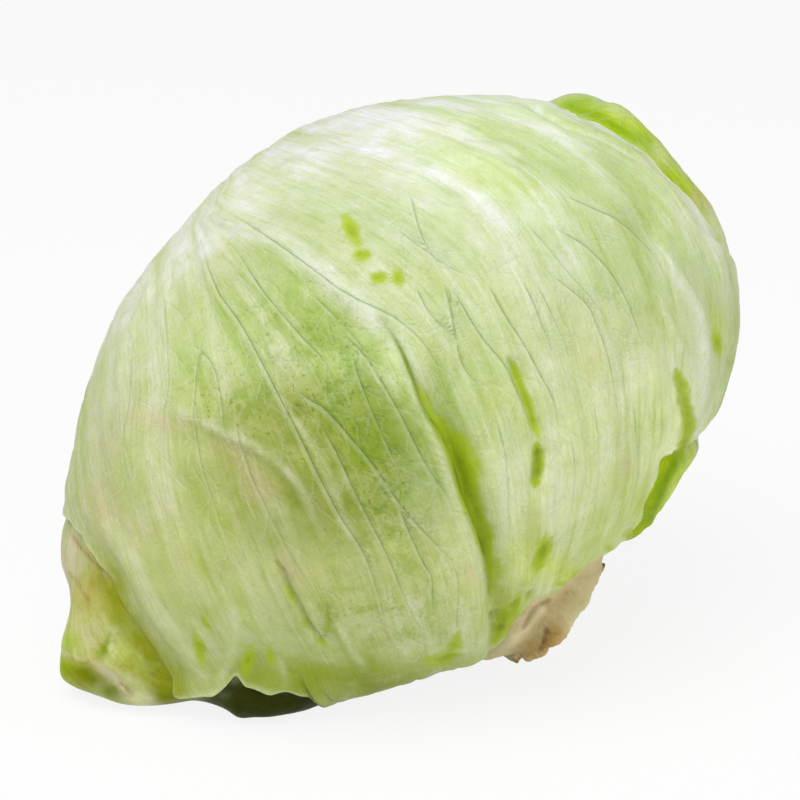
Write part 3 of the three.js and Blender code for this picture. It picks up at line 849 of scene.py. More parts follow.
# ---- Colour of the skin ----
# the pale waxy bloom; on the top and on the right ridges it also stands in for painted sheen of the light
WAX_AND_SHEEN = (0.76, 0.80, 0.64)
BLOOM = (0.68, 0.74, 0.52)
PALE_GREEN = (0.61, 0.68, 0.39)
BASE = (0.56, 0.63, 0.31)
SOFT_GREEN = (0.49, 0.58, 0.24)
MID_GREEN = (0.40, 0.49, 0.16)
GRASS = (0.28, 0.37, 0.05)
YELLOW_GREEN = (0.47, 0.55, 0.10)
TANNED = (0.62, 0.56, 0.31)
PINK = (0.62, 0.50, 0.29)
# painted shade: the dark olive of the valley where the front leaf's margin overhangs the left leaf
PAINTED_VALLEY_SHADE = (0.29, 0.32, 0.008)
BROWN = (0.34, 0.20, 0.05)
# painted shadow: near-black, for the crescent where the head meets the floor
PAINTED_SHADE = (0.035, 0.04, 0.001)
RIM = (0.68, 0.75, 0.40)
FRONT_RIM = (0.70, 0.78, 0.42)
INSIDE = (0.80, 0.82, 0.56)
HEAD_GREEN = (0.72, 0.78, 0.42)
HEAD_YELLOW = (0.86, 0.83, 0.46)
HEAD_RIB = (0.88, 0.88, 0.70)

# The browned rim above the pinched corner, on both leaves that meet there: a stroke, as below.
CORNER_RIM = ([(-79, -32), (-76.4, -35.6), (-73.4, -39), (-70.4, -41.6)],
              0.4, 0.45, (0.40, 0.24, 0.07), 0.8)

# Washes and strokes of colour. Ovals have a middle, half their size and a turn, lines have their
# points and half widths to the left and right; both end in a colour and how strongly it covers.
FRONT_OVALS = [
    # the pale waxy top, whitened as painted sheen where the overhead light falls, the left side, and the
    # right side, painted paler as lit by light from the right
    ((6, 68), (78, 27), -8, BLOOM, 0.95),
    ((-50, 42), (8, 26), -42, WAX_AND_SHEEN, 0.8),
    ((-18, 62), (30, 9), 22, WAX_AND_SHEEN, 0.5),
    ((18, 57), (26, 11), -20, (0.78, 0.83, 0.66), 1.0),
    ((68, 46), (7, 20), 36, (0.74, 0.81, 0.50), 0.8),
    ((-60, 22), (12, 24), -14, PALE_GREEN, 0.7),
    ((44, -17), (22, 25), 0, (0.71, 0.78, 0.40), 1.0),
    ((64, -10), (9, 24), -4, (0.77, 0.86, 0.42), 0.9),
    ((26, -24), (5, 20), 6, (0.76, 0.81, 0.48), 0.9),
    # the grey green lower left and the dark middle
    ((-46, -22), (24, 18), 15, (0.51, 0.54, 0.21), 0.9),
    ((-34, 10), (20, 13), -25, (0.47, 0.57, 0.19), 0.9),
    ((-22, 6), (13, 15), 12, (0.38, 0.48, 0.13), 1.0),
    ((-26, -14), (16, 18), 15, (0.34, 0.39, 0.09), 1.3),
    ((-10, -25), (16, 17), 10, (0.31, 0.36, 0.06), 1.3),
    ((-4, -8), (13, 19), 18, (0.26, 0.35, 0.03), 1.3),
    ((6, -22), (7, 14), 12, MID_GREEN, 0.7),
    ((-2, -38), (12, 9), 0, (0.38, 0.45, 0.12), 0.8),
    ((-58, -38), (14, 12), 0, (0.61, 0.65, 0.27), 0.9),
    ((-40, -45), (14, 8), 0, (0.60, 0.65, 0.28), 0.9),
    ((-22, -44), (8, 7), 0, (0.57, 0.57, 0.28), 0.5),
    ((0, -50), (16, 9), 0, (0.47, 0.54, 0.15), 0.7),
    ((14, -44), (5, 12), 6, (0.57, 0.65, 0.25), 0.7),
    ((-22, -67), (48, 6.5), 0, (0.36, 0.43, 0.04), 0.95),
    ((-2, -69), (14, 4), 0, (0.29, 0.32, 0.02), 0.8),
    # right of the fold, its deeper green partly painted shade along the groove
    ((10, 4), (4.5, 10), 22, (0.39, 0.49, 0.11), 0.85),
    ((20, 4), (8, 13), 24, (0.47, 0.58, 0.19), 0.75),
    ((24.5, -1), (2.5, 6), 20, YELLOW_GREEN, 0.7),
    ((12, 18), (5, 8), 30, (0.48, 0.57, 0.29), 0.6),
    ((37, 18), (5, 12), -24, SOFT_GREEN, 0.7),
    ((50, 30), (11, 7), -34, (0.50, 0.60, 0.26), 0.7),
    ((36, 0), (4, 10), 10, (0.52, 0.61, 0.24), 0.6),
    ((42, 4), (3, 12), 12, SOFT_GREEN, 0.4),
    ((48, -34), (6, 8), -20, (0.60, 0.69, 0.22), 0.6),
    ((40, -42), (10, 3.6), -32, (0.60, 0.68, 0.12), 0.85),
    ((26, -52), (8, 5), -45, (0.50, 0.57, 0.07), 0.85),
    ((31, -34), (3, 9), 8, (0.50, 0.60, 0.14), 0.6),
    ((58, -24), (2.4, 8), -10, (0.50, 0.61, 0.10), 0.8),
    ((52, -20), (2.4, 9), 0, YELLOW_GREEN, 0.35),
    ((60, 30), (4, 12), 26, (0.50, 0.61, 0.23), 0.7),
    ((59, 42), (3.4, 6), 35, MID_GREEN, 0.8),
    ((64, 20), (3, 9), 16, (0.52, 0.64, 0.22), 0.7),
    ((76, 18), (2.4, 6), 10, (0.54, 0.67, 0.16), 0.8),
    ((73, 33), (2.4, 6), 25, (0.62, 0.74, 0.34), 0.5),
    # small washes above
    ((-25, 43), (11, 3.6), -28, SOFT_GREEN, 0.7),
    ((0, 40), (14, 5), -24, (0.52, 0.60, 0.36), 0.6),
    ((-36, 31), (9, 7), -20, (0.52, 0.60, 0.32), 0.6),
    ((38, 55), (13, 3.4), -30, (0.55, 0.65, 0.36), 0.7),
    ((50, 57), (8, 1.8), -30, SOFT_GREEN, 0.6),
    ((24, 62.5), (8, 1.2), -22, SOFT_GREEN, 0.7),
    ((30, 57), (5, 1.0), -26, SOFT_GREEN, 0.7),
    ((12, 50), (6, 1.4), -26, SOFT_GREEN, 0.4),
    ((44, 43), (9, 1.6), -38, SOFT_GREEN, 0.5),
    ((-60, -10), (12, 20), 0, (0.62, 0.66, 0.33), 0.6),
    ((24, 42), (10, 4), -30, PALE_GREEN, 0.5),
    ((35, 38), (10, 3.6), -32, BLOOM, 0.7),
    # near-white: pale bloom, whitened further as painted sheen of the overhead light
    ((24, 70), (26, 6), -18, (0.81, 0.86, 0.70), 0.8),
    ((-40, 50), (16, 8), 42, (0.80, 0.84, 0.64), 0.7),
    ((-62, 26), (7, 13), -20, (0.78, 0.80, 0.60), 0.7),
    ((0, 10), (7, 8), 0, (0.64, 0.73, 0.39), 0.8),
    ((-32, 11), (8, 6), 0, (0.60, 0.66, 0.37), 0.6),
    ((-48, 10), (8, 8), 0, (0.62, 0.69, 0.36), 0.6),
    ((64, 40), (6, 7), 30, (0.72, 0.80, 0.48), 0.6),
    ((14, -40), (8, 10), 0, (0.68, 0.74, 0.32), 0.8),
    ((-16, -42), (10, 8), 0, (0.55, 0.60, 0.21), 0.8),
    ((31, -40), (8, 5), -30, (0.66, 0.74, 0.22), 0.7),
    ((0, -38), (9, 7), 0, (0.50, 0.58, 0.18), 0.7),
    ((33, -7), (6, 7), 0, (0.47, 0.58, 0.18), 0.6),
    ((50, -6), (6, 6), 0, (0.60, 0.68, 0.29), 0.5),
    ((-16, 9), (7, 5), 0, (0.51, 0.62, 0.25), 0.7),
    # near-white: painted sheen on the upper left shoulder, over its pale bloom
    ((-43, 42), (12, 5), 42, (0.84, 0.87, 0.70), 0.6),
    # tan and pink stains
    ((-58, -5), (9, 2.6), -12, PINK, 0.55),
    ((-70, -8), (4, 12), -8, (0.58, 0.56, 0.33), 0.6),
    ((-40, -13), (8, 2.4), -38, PINK, 0.45),
    ((-34, -22), (5, 3), -50, PINK, 0.5),
    ((-27, -40), (3.4, 2.4), -50, TANNED, 0.8),
    ((17, -41), (2.6, 2.0), -30, PINK, 0.5),
    ((54.4, -15.4), (1.4, 2.6), 0, PINK, 0.6),
    ((-72, -26), (5, 9), 10, TANNED, 0.55),
    ((-62, -32), (8, 4), -40, (0.60, 0.57, 0.32), 0.4),
    ((-50, -37), (2.4, 9), 35, YELLOW_GREEN, 0.6),
    ((-43, -29), (2.2, 8), 35, YELLOW_GREEN, 0.5),
    ((-48, -54), (8, 7), 0, (0.45, 0.53, 0.12), 0.8),
]
FRONT_LINES = [
    # the pale band along the raised shoulder: painted highlight where the light catches its crest
    (PALE_BAND, 2.4, 2.8, (0.67, 0.72, 0.52), 0.9),
    ([(-1, 13.5), (3, 6.5), (7.5, -3), (12, -14.5), (15, -24), (18, -33), (19.6, -42), (20, -54)],
     1.6, 0.3, (0.52, 0.60, 0.24), 0.7),
    ([(-49, 34), (-41, 22.8), (-33.8, 9.6), (-26.6, -2.6), (-17.5, -16.8), (-13.4, -29), (-8, -42)],
     1.0, 0.9, (0.56, 0.62, 0.33), 0.6),
    ([(-60, 30), (-67, 12), (-69, -4)], 2.6, 2.2, BLOOM, 0.5),
    ([(-57, -1.5), (-49, -4.6), (-41, -8.6), (-34, -11.8), (-24.7, -20), (-19, -32)],
     1.0, 1.4, (0.60, 0.60, 0.36), 0.6),
    ([(-74, -27), (-68, -33), (-63.6, -40), (-57, -51), (-52, -57), (-47, -66)],
     2.2, 1.6, (0.64, 0.68, 0.36), 0.8),
    ([(-42, -50), (-40, -57), (-41, -63), (-44, -69)], 1.6, 1.2, (0.64, 0.70, 0.38), 0.7),
    ([(-36, -50), (-30, -60), (-27, -68)], 0.9, 0.9, (0.60, 0.66, 0.33), 0.45),
    ([(-14.9, -54.2), (-12, -59.5), (-8.2, -64.3)], 0.8, 0.8, PALE_GREEN, 0.6),
    ([(-4.0, -45.6), (-1.6, -52.8), (0.3, -59.5), (3, -62.5)], 0.3, 1.3, PALE_GREEN, 0.6),
    ([(1, -46), (5, -53), (8.4, -60)], 0.6, 0.9, PALE_GREEN, 0.5),
    # a thin dark line along the fold's left edge: painted shade where the lip turns down into the groove
    ([(-4.8, 19.6), (-0.5, 13.4), (2.6, 6), (5, -0.6), (7.6, -5), (10.4, -9.6), (12.4, -14.4),
      (14, -20.2), (15.4, -24.4), (17, -28), (18.8, -33), (20.6, -38.6), (21.4, -46)],
     0.5, 0.8, (0.20, 0.28, 0.005), 0.9),
    # a pale line just left of it: painted highlight on the fold's lip
    ([(-1, 11.6), (2, 4.4), (4.4, -2), (7.6, -8.2), (10.2, -14), (12.4, -21), (14.2, -26.6),
      (16.6, -33.4), (18.6, -40), (19.4, -48)], 0.9, 0.7, (0.68, 0.75, 0.42), 0.6),
    # painted shade in the valley by the lower left margin, darkest towards its lower end
    (VALLEY, 3.6, 4.0, PAINTED_VALLEY_SHADE, 0.95),
    ([(-57.6, -64), (-54.6, -68.6), (-53, -72)], 2.4, 2.6, (0.32, 0.36, 0.01), 0.95),
    ([(-66.6, -51.6), (-63, -57)], 1.6, 2.0, (0.22, 0.25, 0.001), 0.6),
    CORNER_RIM,
    # pale ridges on the right: waxy bloom with painted sheen on their crests
    (RIGHT_RIDGE, 1.5, 1.6, WAX_AND_SHEEN, 0.7),
    (SIDE_RIDGE, 0.8, 0.9, WAX_AND_SHEEN, 0.6),
    ([(37.2, 71.8), (42.5, 68.9), (48.5, 66.1), (52.8, 63.4), (56.9, 61.2), (62, 58)],
     0.45, 0.45, (0.78, 0.84, 0.55), 0.9),
    # painted shadow: the green band under the fold crease at the upper right
    ([(32, 71.8), (40.8, 66.8), (48.5, 64.2), (55.2, 60.6), (60.5, 58)], 0.8, 0.3, (0.46, 0.58, 0.20), 0.7),
    ([(69.4, -2), (70.6, -8), (69.6, -13)], 1.4, 1.6, BLOOM, 0.7),
    ([(24.2, 2), (25.4, -14), (24, -28), (23.6, -40)], 1.2, 2.0, BLOOM, 0.5),
    ([(35, -4), (37.6, -16), (36.6, -30)], 1.2, 1.6, BLOOM, 0.5),
    ([(-1.5, 30), (6, 18), (12, 6), (16, -4), (20, -12)], 0.8, 1.0, (0.58, 0.66, 0.36), 0.5),
]
# The left leaf where it shows at the corner and along the bottom. Some of its ovals and lines are painted
# shade under the corner's folds, in its creases and by the front leaf's margin, and painted shadow where
# the head meets the floor.
LEFT_OVALS = [
    ((-70, -54), (16, 20), 0, (0.53, 0.54, 0.13), 1.0),
    ((-78.5, -37), (5, 6), 0, (0.64, 0.59, 0.33), 0.95),
    ((-80, -42), (2.2, 5), 0, (0.68, 0.60, 0.41), 0.8),
    ((-74, -45), (5, 6), -30, (0.50, 0.46, 0.11), 0.9),
    ((-75.5, -55.5), (4.4, 4.6), -20, (0.62, 0.59, 0.33), 0.9),
    ((-75.6, -53), (1.4, 1.2), 0, (0.50, 0.56, 0.10), 0.6),
    ((-79.4, -57.6), (2.8, 2.6), 0, (0.48, 0.58, 0.05), 0.95),
    ((-79.5, -64.4), (4.4, 2.6), -18, (0.48, 0.62, 0.004), 1.2),
    # painted shade under the corner's folds
    ((-73.5, -67.4), (8, 2.6), -24, (0.25, 0.28, 0.001), 1.5),
    ((-69.4, -69.2), (5, 1.8), -28, (0.15, 0.17, 0.001), 1.2),
    ((-66, -60), (3.6, 3.2), -40, (0.56, 0.62, 0.16), 0.9),
    ((-62, -66), (6, 2.2), -35, (0.42, 0.46, 0.03), 0.8),
    ((-61, -72.4), (6, 2.3), -14, (0.78, 0.79, 0.46), 0.95),
    # painted shade by the front leaf's margin
    ((-56.6, -69.5), (2.6, 4.2), 20, (0.23, 0.26, 0.002), 0.95),
    # painted shade in the corner's crease
    ((-71.2, -60), (1.5, 2.4), -28, (0.28, 0.36, 0.002), 1.1),
    # painted shadow where the head meets the floor
    ((-30, -74), (16, 6), 0, PAINTED_SHADE, 1.2),
    ((-28, -72), (18, 5), 0, PAINTED_SHADE, 1.2),
    ((-39.5, -70), (4.6, 3.8), 0, PAINTED_SHADE, 1.3),
    ((-46, -72.4), (4, 1.2), 0, PAINTED_SHADE, 0.9),
    ((-2, -69.5), (7, 3.6), 0, (0.14, 0.10, 0.02), 1.0),
    ((1.4, -67.6), (2.6, 2.0), -30, (0.50, 0.43, 0.32), 0.9),
]
LEFT_LINES = [
    # painted shade in the valley
    (VALLEY, 3.4, 3.6, PAINTED_VALLEY_SHADE, 0.95),
    # painted shade in the corner's crease
    ([(-68.6, -54.8), (-69.8, -57.4), (-71, -60), (-71.8, -61.8)], 0.6, 0.8, (0.24, 0.31, 0.002), 0.9),
    ([(-68.2, -54.4), (-69, -57.2), (-69.6, -59.6), (-68.4, -61.6)], 0.5, 0.4, (0.70, 0.75, 0.36), 0.9),
    ([(-81, -60.6), (-78, -62), (-74.4, -62.6), (-72, -63.4)], 0.5, 0.6, (0.68, 0.60, 0.32), 0.9),
    ([(-80, -61.6), (-76, -63), (-73.6, -62.4), (-71.6, -62.2)], 0.25, 0.25, BROWN, 0.6),
    ([(-73.6, -63.4), (-70.4, -65.4), (-67.6, -67.6), (-65, -70.4)], 1.0, 1.0, (0.70, 0.64, 0.40), 0.95),
    ([(-67.4, -67.6), (-65.6, -69.4), (-64.4, -71)], 0.3, 0.4, BROWN, 0.85),
    ([(-69.6, -62.6), (-66, -64.6), (-62.4, -66.6)], 0.3, 0.3, (0.42, 0.34, 0.08), 0.7),
    # painted shade in a small crease
    ([(-66, -63.6), (-61, -66.4), (-57.4, -68.6)], 0.5, 0.6, (0.32, 0.34, 0.01), 0.8),
    ([(-64.8, -58.6), (-60.6, -63.6), (-57.6, -67)], 0.5, 0.5, (0.52, 0.56, 0.14), 0.6),
    CORNER_RIM,
    (TIP_CRACK, 0.4, 0.4, (0.42, 0.28, 0.09), 0.7),
]
RIGHT_OVALS = [
    ((50, 67), (16, 8), -28, (0.47, 0.64, 0.03), 1.1),
    ((41.5, 71.5), (4, 2), 10, (0.32, 0.50, 0.002), 0.8),
    ((46, 71.6), (3, 1.4), -10, (0.31, 0.48, 0.002), 0.7),
    ((52.4, 70), (5, 2.0), -26, (0.60, 0.71, 0.28), 0.75),
    ((66, 52), (8, 3.6), -42, (0.44, 0.60, 0.02), 1.1),
    ((62.6, 58.6), (2.4, 2.4), 0, (0.58, 0.68, 0.22), 0.8),
    ((72.4, 48.4), (2.6, 3.2), 30, (0.52, 0.52, 0.12), 0.9),
    ((78, 40), (4, 8), 25, (0.66, 0.72, 0.36), 0.9),
    ((61, -22), (8, 15), -22, (0.42, 0.57, 0.001), 1.6),
]
RIGHT_LINES = [
    ([(76, -2), (73.2, -8), (70, -14.4), (66.6, -20), (63.4, -25.6), (60.4, -30.4)],
     2.0, 3.0, (0.62, 0.76, 0.16), 0.8),
    ([(66.6, -13.6), (64, -19), (62, -24), (59.4, -30)], 1.4, 1.2, (0.22, 0.36, 0.001), 0.9),
    ([(38.5, 71.6), (43.6, 69.6), (49.6, 66.6), (54, 64), (59.4, 62)], 1.4, 1.6, (0.28, 0.45, 0.001), 0.95),
]

# Deep green hollows of the front leaf, their green partly the leaf's greener tissue and partly painted
# shade: lines with their half widths to the left and right, along each line, and how softly the right side
# ends; and ovals.
GREEN_LINES = [
    ([(1.6, 8.6), (3.6, 3), (5, 0.2), (7.2, -4.1), (10.1, -9.1), (12, -13.9), (13.7, -19.9), (15.1, -24),
      (16.6, -27), (18.5, -32.4), (20.4, -38), (21.4, -43), (21.8, -47)],
     0.7, (0.3, 0.8, 1.6, 2.6, 4.4, 6.6, 6.6, 5.0, 4.4, 4.2, 4.0, 3.2, 1.0), 0.42),
    (SLOT, 1.0, (0.5, 1.5, 1.7, 1.7, 1.4, 0.6), 1),
    (SLOT_END, 1.5, (0.8, 1.8, 2.0, 1.5), 1),
    (RIGHT_GROOVE, 1.5, (0.6, 1.8, 2.1, 2.1, 1.9, 1.2), 1),
    (SLIT, 0.25, (0.3, 0.7, 1.0, 0.8, 0.6, 0.4), 1),
    (SLIT_FORK, 0.5, (0.3, 0.8, 0.8, 0.3), 1),
    ([(14.4, -55), (13, -58), (10.4, -61), (6, -62.6)], 1.0, (0.5, 2.6, 3.2, 2.0), 0.6),
]
GREEN_OVALS = [
    ((-11.5, 40.5), (1.9, 4.6), 24),
    ((-9.4, 35), (2.6, 1.6), 0),
    ((-5.3, 29.4), (2.2, 1.7), 0),
    ((-0.3, 29.2), (1.7, 2.6), 8),
    ((-48, -60), (1.5, 4.4), 12),
    ((-46.8, -53), (0.9, 2.4), 20),
    ((-36.6, -62.6), (1.5, 4.4), -14),
    ((-31, -61.5), (1.0, 3.2), 8),
    ((24.4, -54.4), (2.1, 5.4), -28),
    ((27.9, -49.4), (1.2, 4.8), -16),
    ((34.3, -36.4), (1.9, 5.6), -18),
    ((30.7, -47), (0.8, 2.8), -18),
    ((38.6, -44.2), (1.4, 0.8), 0),
    ((42.6, -43), (1.6, 1.8), 0),
    ((55.2, -32.4), (2.0, 1.7), 0),
    ((50.2, -35.6), (1.1, 1.2), 0),
    ((76.2, 13.6), (1.6, 3.0), 10),
]
GREEN_REACH = 2.0           # how far outside a hollow the depth is still counted
# Where the front leaf is mottled and pitted.
PITTED = [
    ((-20, 4), (22, 24), 20),
    ((-38, -2), (18, 10), -15),
    ((-4, -24), (12, 22), 15),
    ((-5, -52), (16, 8), 0),
]


def mix_colour(colour, other, share):
    """Each point's colour, moved its share of the way to another."""
    return colour + (np.array(other) - colour) * share[:, None]


def paint(colour, places, ovals, lines, noise, share):
    """Washes and strokes over a colour, at places as FRONT shows them."""
    for at, half, turn, tint, strength in ovals:
        w = strength * bell(off_oval(at, half, turn, places)) * (1 + 0.45 * noise)
        w = np.clip(w, 0, 1) * share
        colour = mix_colour(colour, tint, w)
    for points, left, right, tint, strength in lines:
        near, across, run, past = beside(points, places, 3 * max(left, right))
        w = bell(np.hypot(np.where(across < 0, across / left, across / right), past / max(left, right)))
        w = strength * w * (0.35 + 0.65 * step(run, 0, 0.15) * (1 - step(run, 0.85, 1)))
        w = np.clip(w * (1 + 0.35 * noise[near]), 0, 1) * share[near]
        colour[near] = mix_colour(colour[near], tint, w)
    return colour


def green_depth(places, shown):
    """How far inside the deep green hollows each seen place lies, negative outside them."""
    depth = np.full(len(places), -GREEN_REACH)
    for points, left, right, soft in GREEN_LINES:
        near, across, run, past = beside(points, places, max(right) + GREEN_REACH / soft)
        right_here = np.interp(run, np.linspace(0, 1, len(right)), right)
        left_here = left * np.minimum(1, right_here / max(right) * 2)
        inside = np.minimum(left_here + across, (right_here - across) * soft) - past
        depth[near] = np.maximum(depth[near], inside)
    for at, half, turn in GREEN_OVALS:
        depth = np.maximum(depth, (1 - off_oval(at, half, turn, places)) * min(half))
    return np.where(shown > 0.5, depth, -GREEN_REACH)


def rib_share(distance, size):
    """How much of the rib's pale colour shows at a distance from a vein of this size."""
    return (1 - step(distance, 0.3 * size, 0.9 * size + 0.4)) * np.clip(size / 2.2, 0.15, 1)


def inner_colour(leaf, index, dirs, places, shown, distance, size):
    """Colour of a head leaf: green outside, and yellower the further in it lies."""
    inward = leaf.inner / HEAD_LEAF_COUNT
    start = np.array(HEAD_GREEN) * (1 - inward) + np.array(HEAD_YELLOW) * inward
    noise = 0.5 + 0.5 * crumple(dirs * 5, index, 2)
    colour = mix_colour(np.tile(start, (len(dirs), 1)), (0.66, 0.74, 0.30), 0.3 * noise)
    return mix_colour(colour, HEAD_RIB, 0.8 * rib_share(distance, size))


def blade_colour(leaf, index, dirs, places, shown, distance, size):
    """Colour of a wrapper leaf's outside: pale by the ribs and the base, green between; the left and right
    leaves get their own washes and strokes, the left one's with painted shade and shadow.
    """
    from_stem = degrees_between(dirs, STEM_AXIS)
    noise = crumple(dirs * MEAN_RADIUS / 16, 700 + index, 3)
    fine = crumple(dirs * MEAN_RADIUS / 5, 710 + index, 3)
    grain = crumple(fan(leaf, dirs) * (0.2, 0.2, 0.03), 720 + index, 2)
    far = step(from_stem, 25, 150)
    colour = np.tile(BLOOM, (len(dirs), 1))
    colour = mix_colour(colour, SOFT_GREEN, np.clip(0.35 + 0.4 * far + 0.4 * noise + 0.3 * grain, 0, 1))
    edge = 1 - step(leaf.to_margin(dirs), 1, 26)
    between = step(distance, 0.6, 3.5)
    green = np.clip(edge * (0.7 + 0.4 * noise) + 0.3 * between * (1 + fine), 0, 1)
    colour = mix_colour(colour, MID_GREEN, green)
    colour = mix_colour(colour, WAX_AND_SHEEN, 0.7 * rib_share(distance, size))
    if leaf.name == "under":
        colour = mix_colour(colour, GRASS, np.full(len(dirs), 0.6))
    if leaf.name == "left":
        colour = paint(colour, places, LEFT_OVALS, LEFT_LINES, fine, shown)
    if leaf.name == "right":
        colour = paint(colour, places, RIGHT_OVALS, RIGHT_LINES, fine, shown)
    rim = 1 - step(leaf.to_margin(dirs), 0.1, 1.1)
    return mix_colour(colour, RIM, 0.7 * rim)


def front_colour(leaf, index, dirs, places, shown, distance, size):
    """Colour of the front leaf: washes, then bands that run with its pleats, then strokes; some washes and
    strokes are painted shade in its valley and folds, painted highlights on their lips and painted sheen at
    the top.
    """
    noise = crumple(dirs * MEAN_RADIUS / 7, 61, 3)
    colour = np.tile(BASE, (len(dirs), 1))
    colour = mix_colour(colour, SOFT_GREEN, np.clip(0.25 + 0.5 * noise, 0, 1) * 0.6)
    colour = paint(colour, places, FRONT_OVALS, [], noise, shown)
    behind = blade_colour(leaf, index, dirs, places, shown, distance, size)
    colour = mix_colour(colour, behind, (1 - shown) * 0.8)
    pleats = fan(leaf, dirs)
    wide = crumple(pleats * (0.16, 1, 0.018), 64, 2)
    narrow = crumple(pleats * (0.5, 1, 0.03), 65, 3)
    bands = np.clip(0.9 * wide + 0.7 * narrow, -1, 1)
    colour = mix_colour(colour, colour * (1.13, 1.09, 1.34), np.clip(bands, 0, 0.85))
    colour = mix_colour(colour, colour * (0.82, 0.90, 0.58), np.clip(-bands, 0, 0.85))
    colour = paint(colour, places, [], FRONT_LINES, noise, shown)
    in_valley = bell(off_oval((-62, -56), (16, 22), 0, places) ** 2)
    rim = (1 - step(leaf.to_margin(dirs), 0.1, 0.9)) * (1 - in_valley)
    return mix_colour(colour, FRONT_RIM, 0.6 * rim)


# ---- Meshes ----
GRID = {"front": 264, "left": 216, "right": 200, "under": 150, "back": 190, "crown": 150}
HEAD_LEAF_GRID = 56         # steps across a leaf's grid, as in GRID
FLOOR_GAP = 0.02            # how far the lowest points stay above the floor
EDGE_WAVE = 0.35            # how far a margin wanders, in degrees
LIFT_BY_VEIN = 0.12         # height of a rib for its size
RIBS_END = 6                # degrees from the margin over which ribs flatten
EDGE_THICKNESS = 0.45       # thickness at the very margin, as a share of the blade's


def disc_grid(n):
    """A square grid laid over a disc: radius from 0 to 1 and angle of each of its points."""
    line = np.linspace(-1, 1, n + 1)
    u, v = np.meshgrid(line, line, indexing="ij")
    wide = np.abs(u) > np.abs(v)
    radius = np.where(wide, u, v)
    ratio = np.where(wide, v, u) / np.where(radius == 0, 1, radius)
    angle = np.where(wide, ratio * 45, 90 - ratio * 45)
    angle = np.where(radius < 0, angle + 180, angle)
    return np.abs(radius).ravel(), angle.ravel()


def grid_normals(points, n):
    """Outward normals of a grid of points."""
    p = points.reshape(n + 1, n + 1, 3)
    du, dv = np.gradient(p, axis=0), np.gradient(p, axis=1)
    normal = np.cross(du, dv).reshape(-1, 3)
    normal = normal / np.maximum(np.linalg.norm(normal, axis=1, keepdims=True), 1e-9)
    flip = ((points - CENTRE) * normal).sum(axis=1).mean() < 0
    return (-normal if flip else normal), flip


def lowest_near(values, n, span):
    """The lowest value within span grid steps of each point."""
    v = values.reshape(n + 1, n + 1)
    for axis in (0, 1):
        low = v.copy()
        for shift in range(1, span + 1):
            ahead, behind = np.roll(v, shift, axis), np.roll(v, -shift, axis)
            low = np.minimum(low, np.minimum(ahead, behind))
        v = low
    return v.ravel()


def ring_of(n):
    """Indices round the border of a grid, in order."""
    border = [(i, 0) for i in range(n)] + [(n, j) for j in range(n)]
    border += [(i, n) for i in range(n, 0, -1)] + [(0, j) for j in range(n, 0, -1)]
    return [i * (n + 1) + j for i, j in border]


def grid_quads(n, offset, flip):
    """Faces of a grid whose first point has this index."""
    i, j = np.meshgrid(np.arange(n), np.arange(n), indexing="ij")
    a = (i * (n + 1) + j).ravel() + offset
    quads = np.column_stack([a, a + n + 1, a + n + 2, a + 1])
    return quads[:, ::-1] if flip else quads


def faces_outward(points, faces):
    """Turns all faces round where the closed mesh would be inside out."""
    p = points - points.mean(axis=0)
    corners = np.array([[f[0], f[i], f[i + 1]] for f in faces for i in range(1, len(f) - 1)])
    a, b, c = (p[corners[:, k]] for k in range(3))
    inside_out = (a * np.cross(b, c)).sum() < 0
    return [f[::-1] for f in faces] if inside_out else faces


def new_piece(name, points, faces, node, material, attributes):
    """A piece of the scene in place of a node, with values at its points for its material."""
    faces = faces_outward(points, faces)
    mesh = bpy.data.meshes.new(name)
    mesh.from_pydata((points * MM).tolist(), [], faces)
    mesh.validate()
    for key, values in attributes.items():
        values = np.asarray(values, np.float32)
        if values.ndim == 1:
            mesh.attributes.new(key, "FLOAT", "POINT").data.foreach_set("value", values)
        elif key == "tint":
            full = np.column_stack([values, np.ones(len(values), np.float32)])
            mesh.attributes.new(key, "FLOAT_COLOR", "POINT").data.foreach_set("color", full.ravel())
        else:
            mesh.attributes.new(key, "FLOAT_VECTOR", "POINT").data.foreach_set("vector", values.ravel())
    mesh.polygons.foreach_set("use_smooth", [True] * len(mesh.polygons))
    mesh.materials.append(material)
    piece = bpy.data.objects.new(name, mesh)
    bpy.context.scene.collection.objects.link(piece)
    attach(piece, "root")
    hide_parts(node)
    return piece


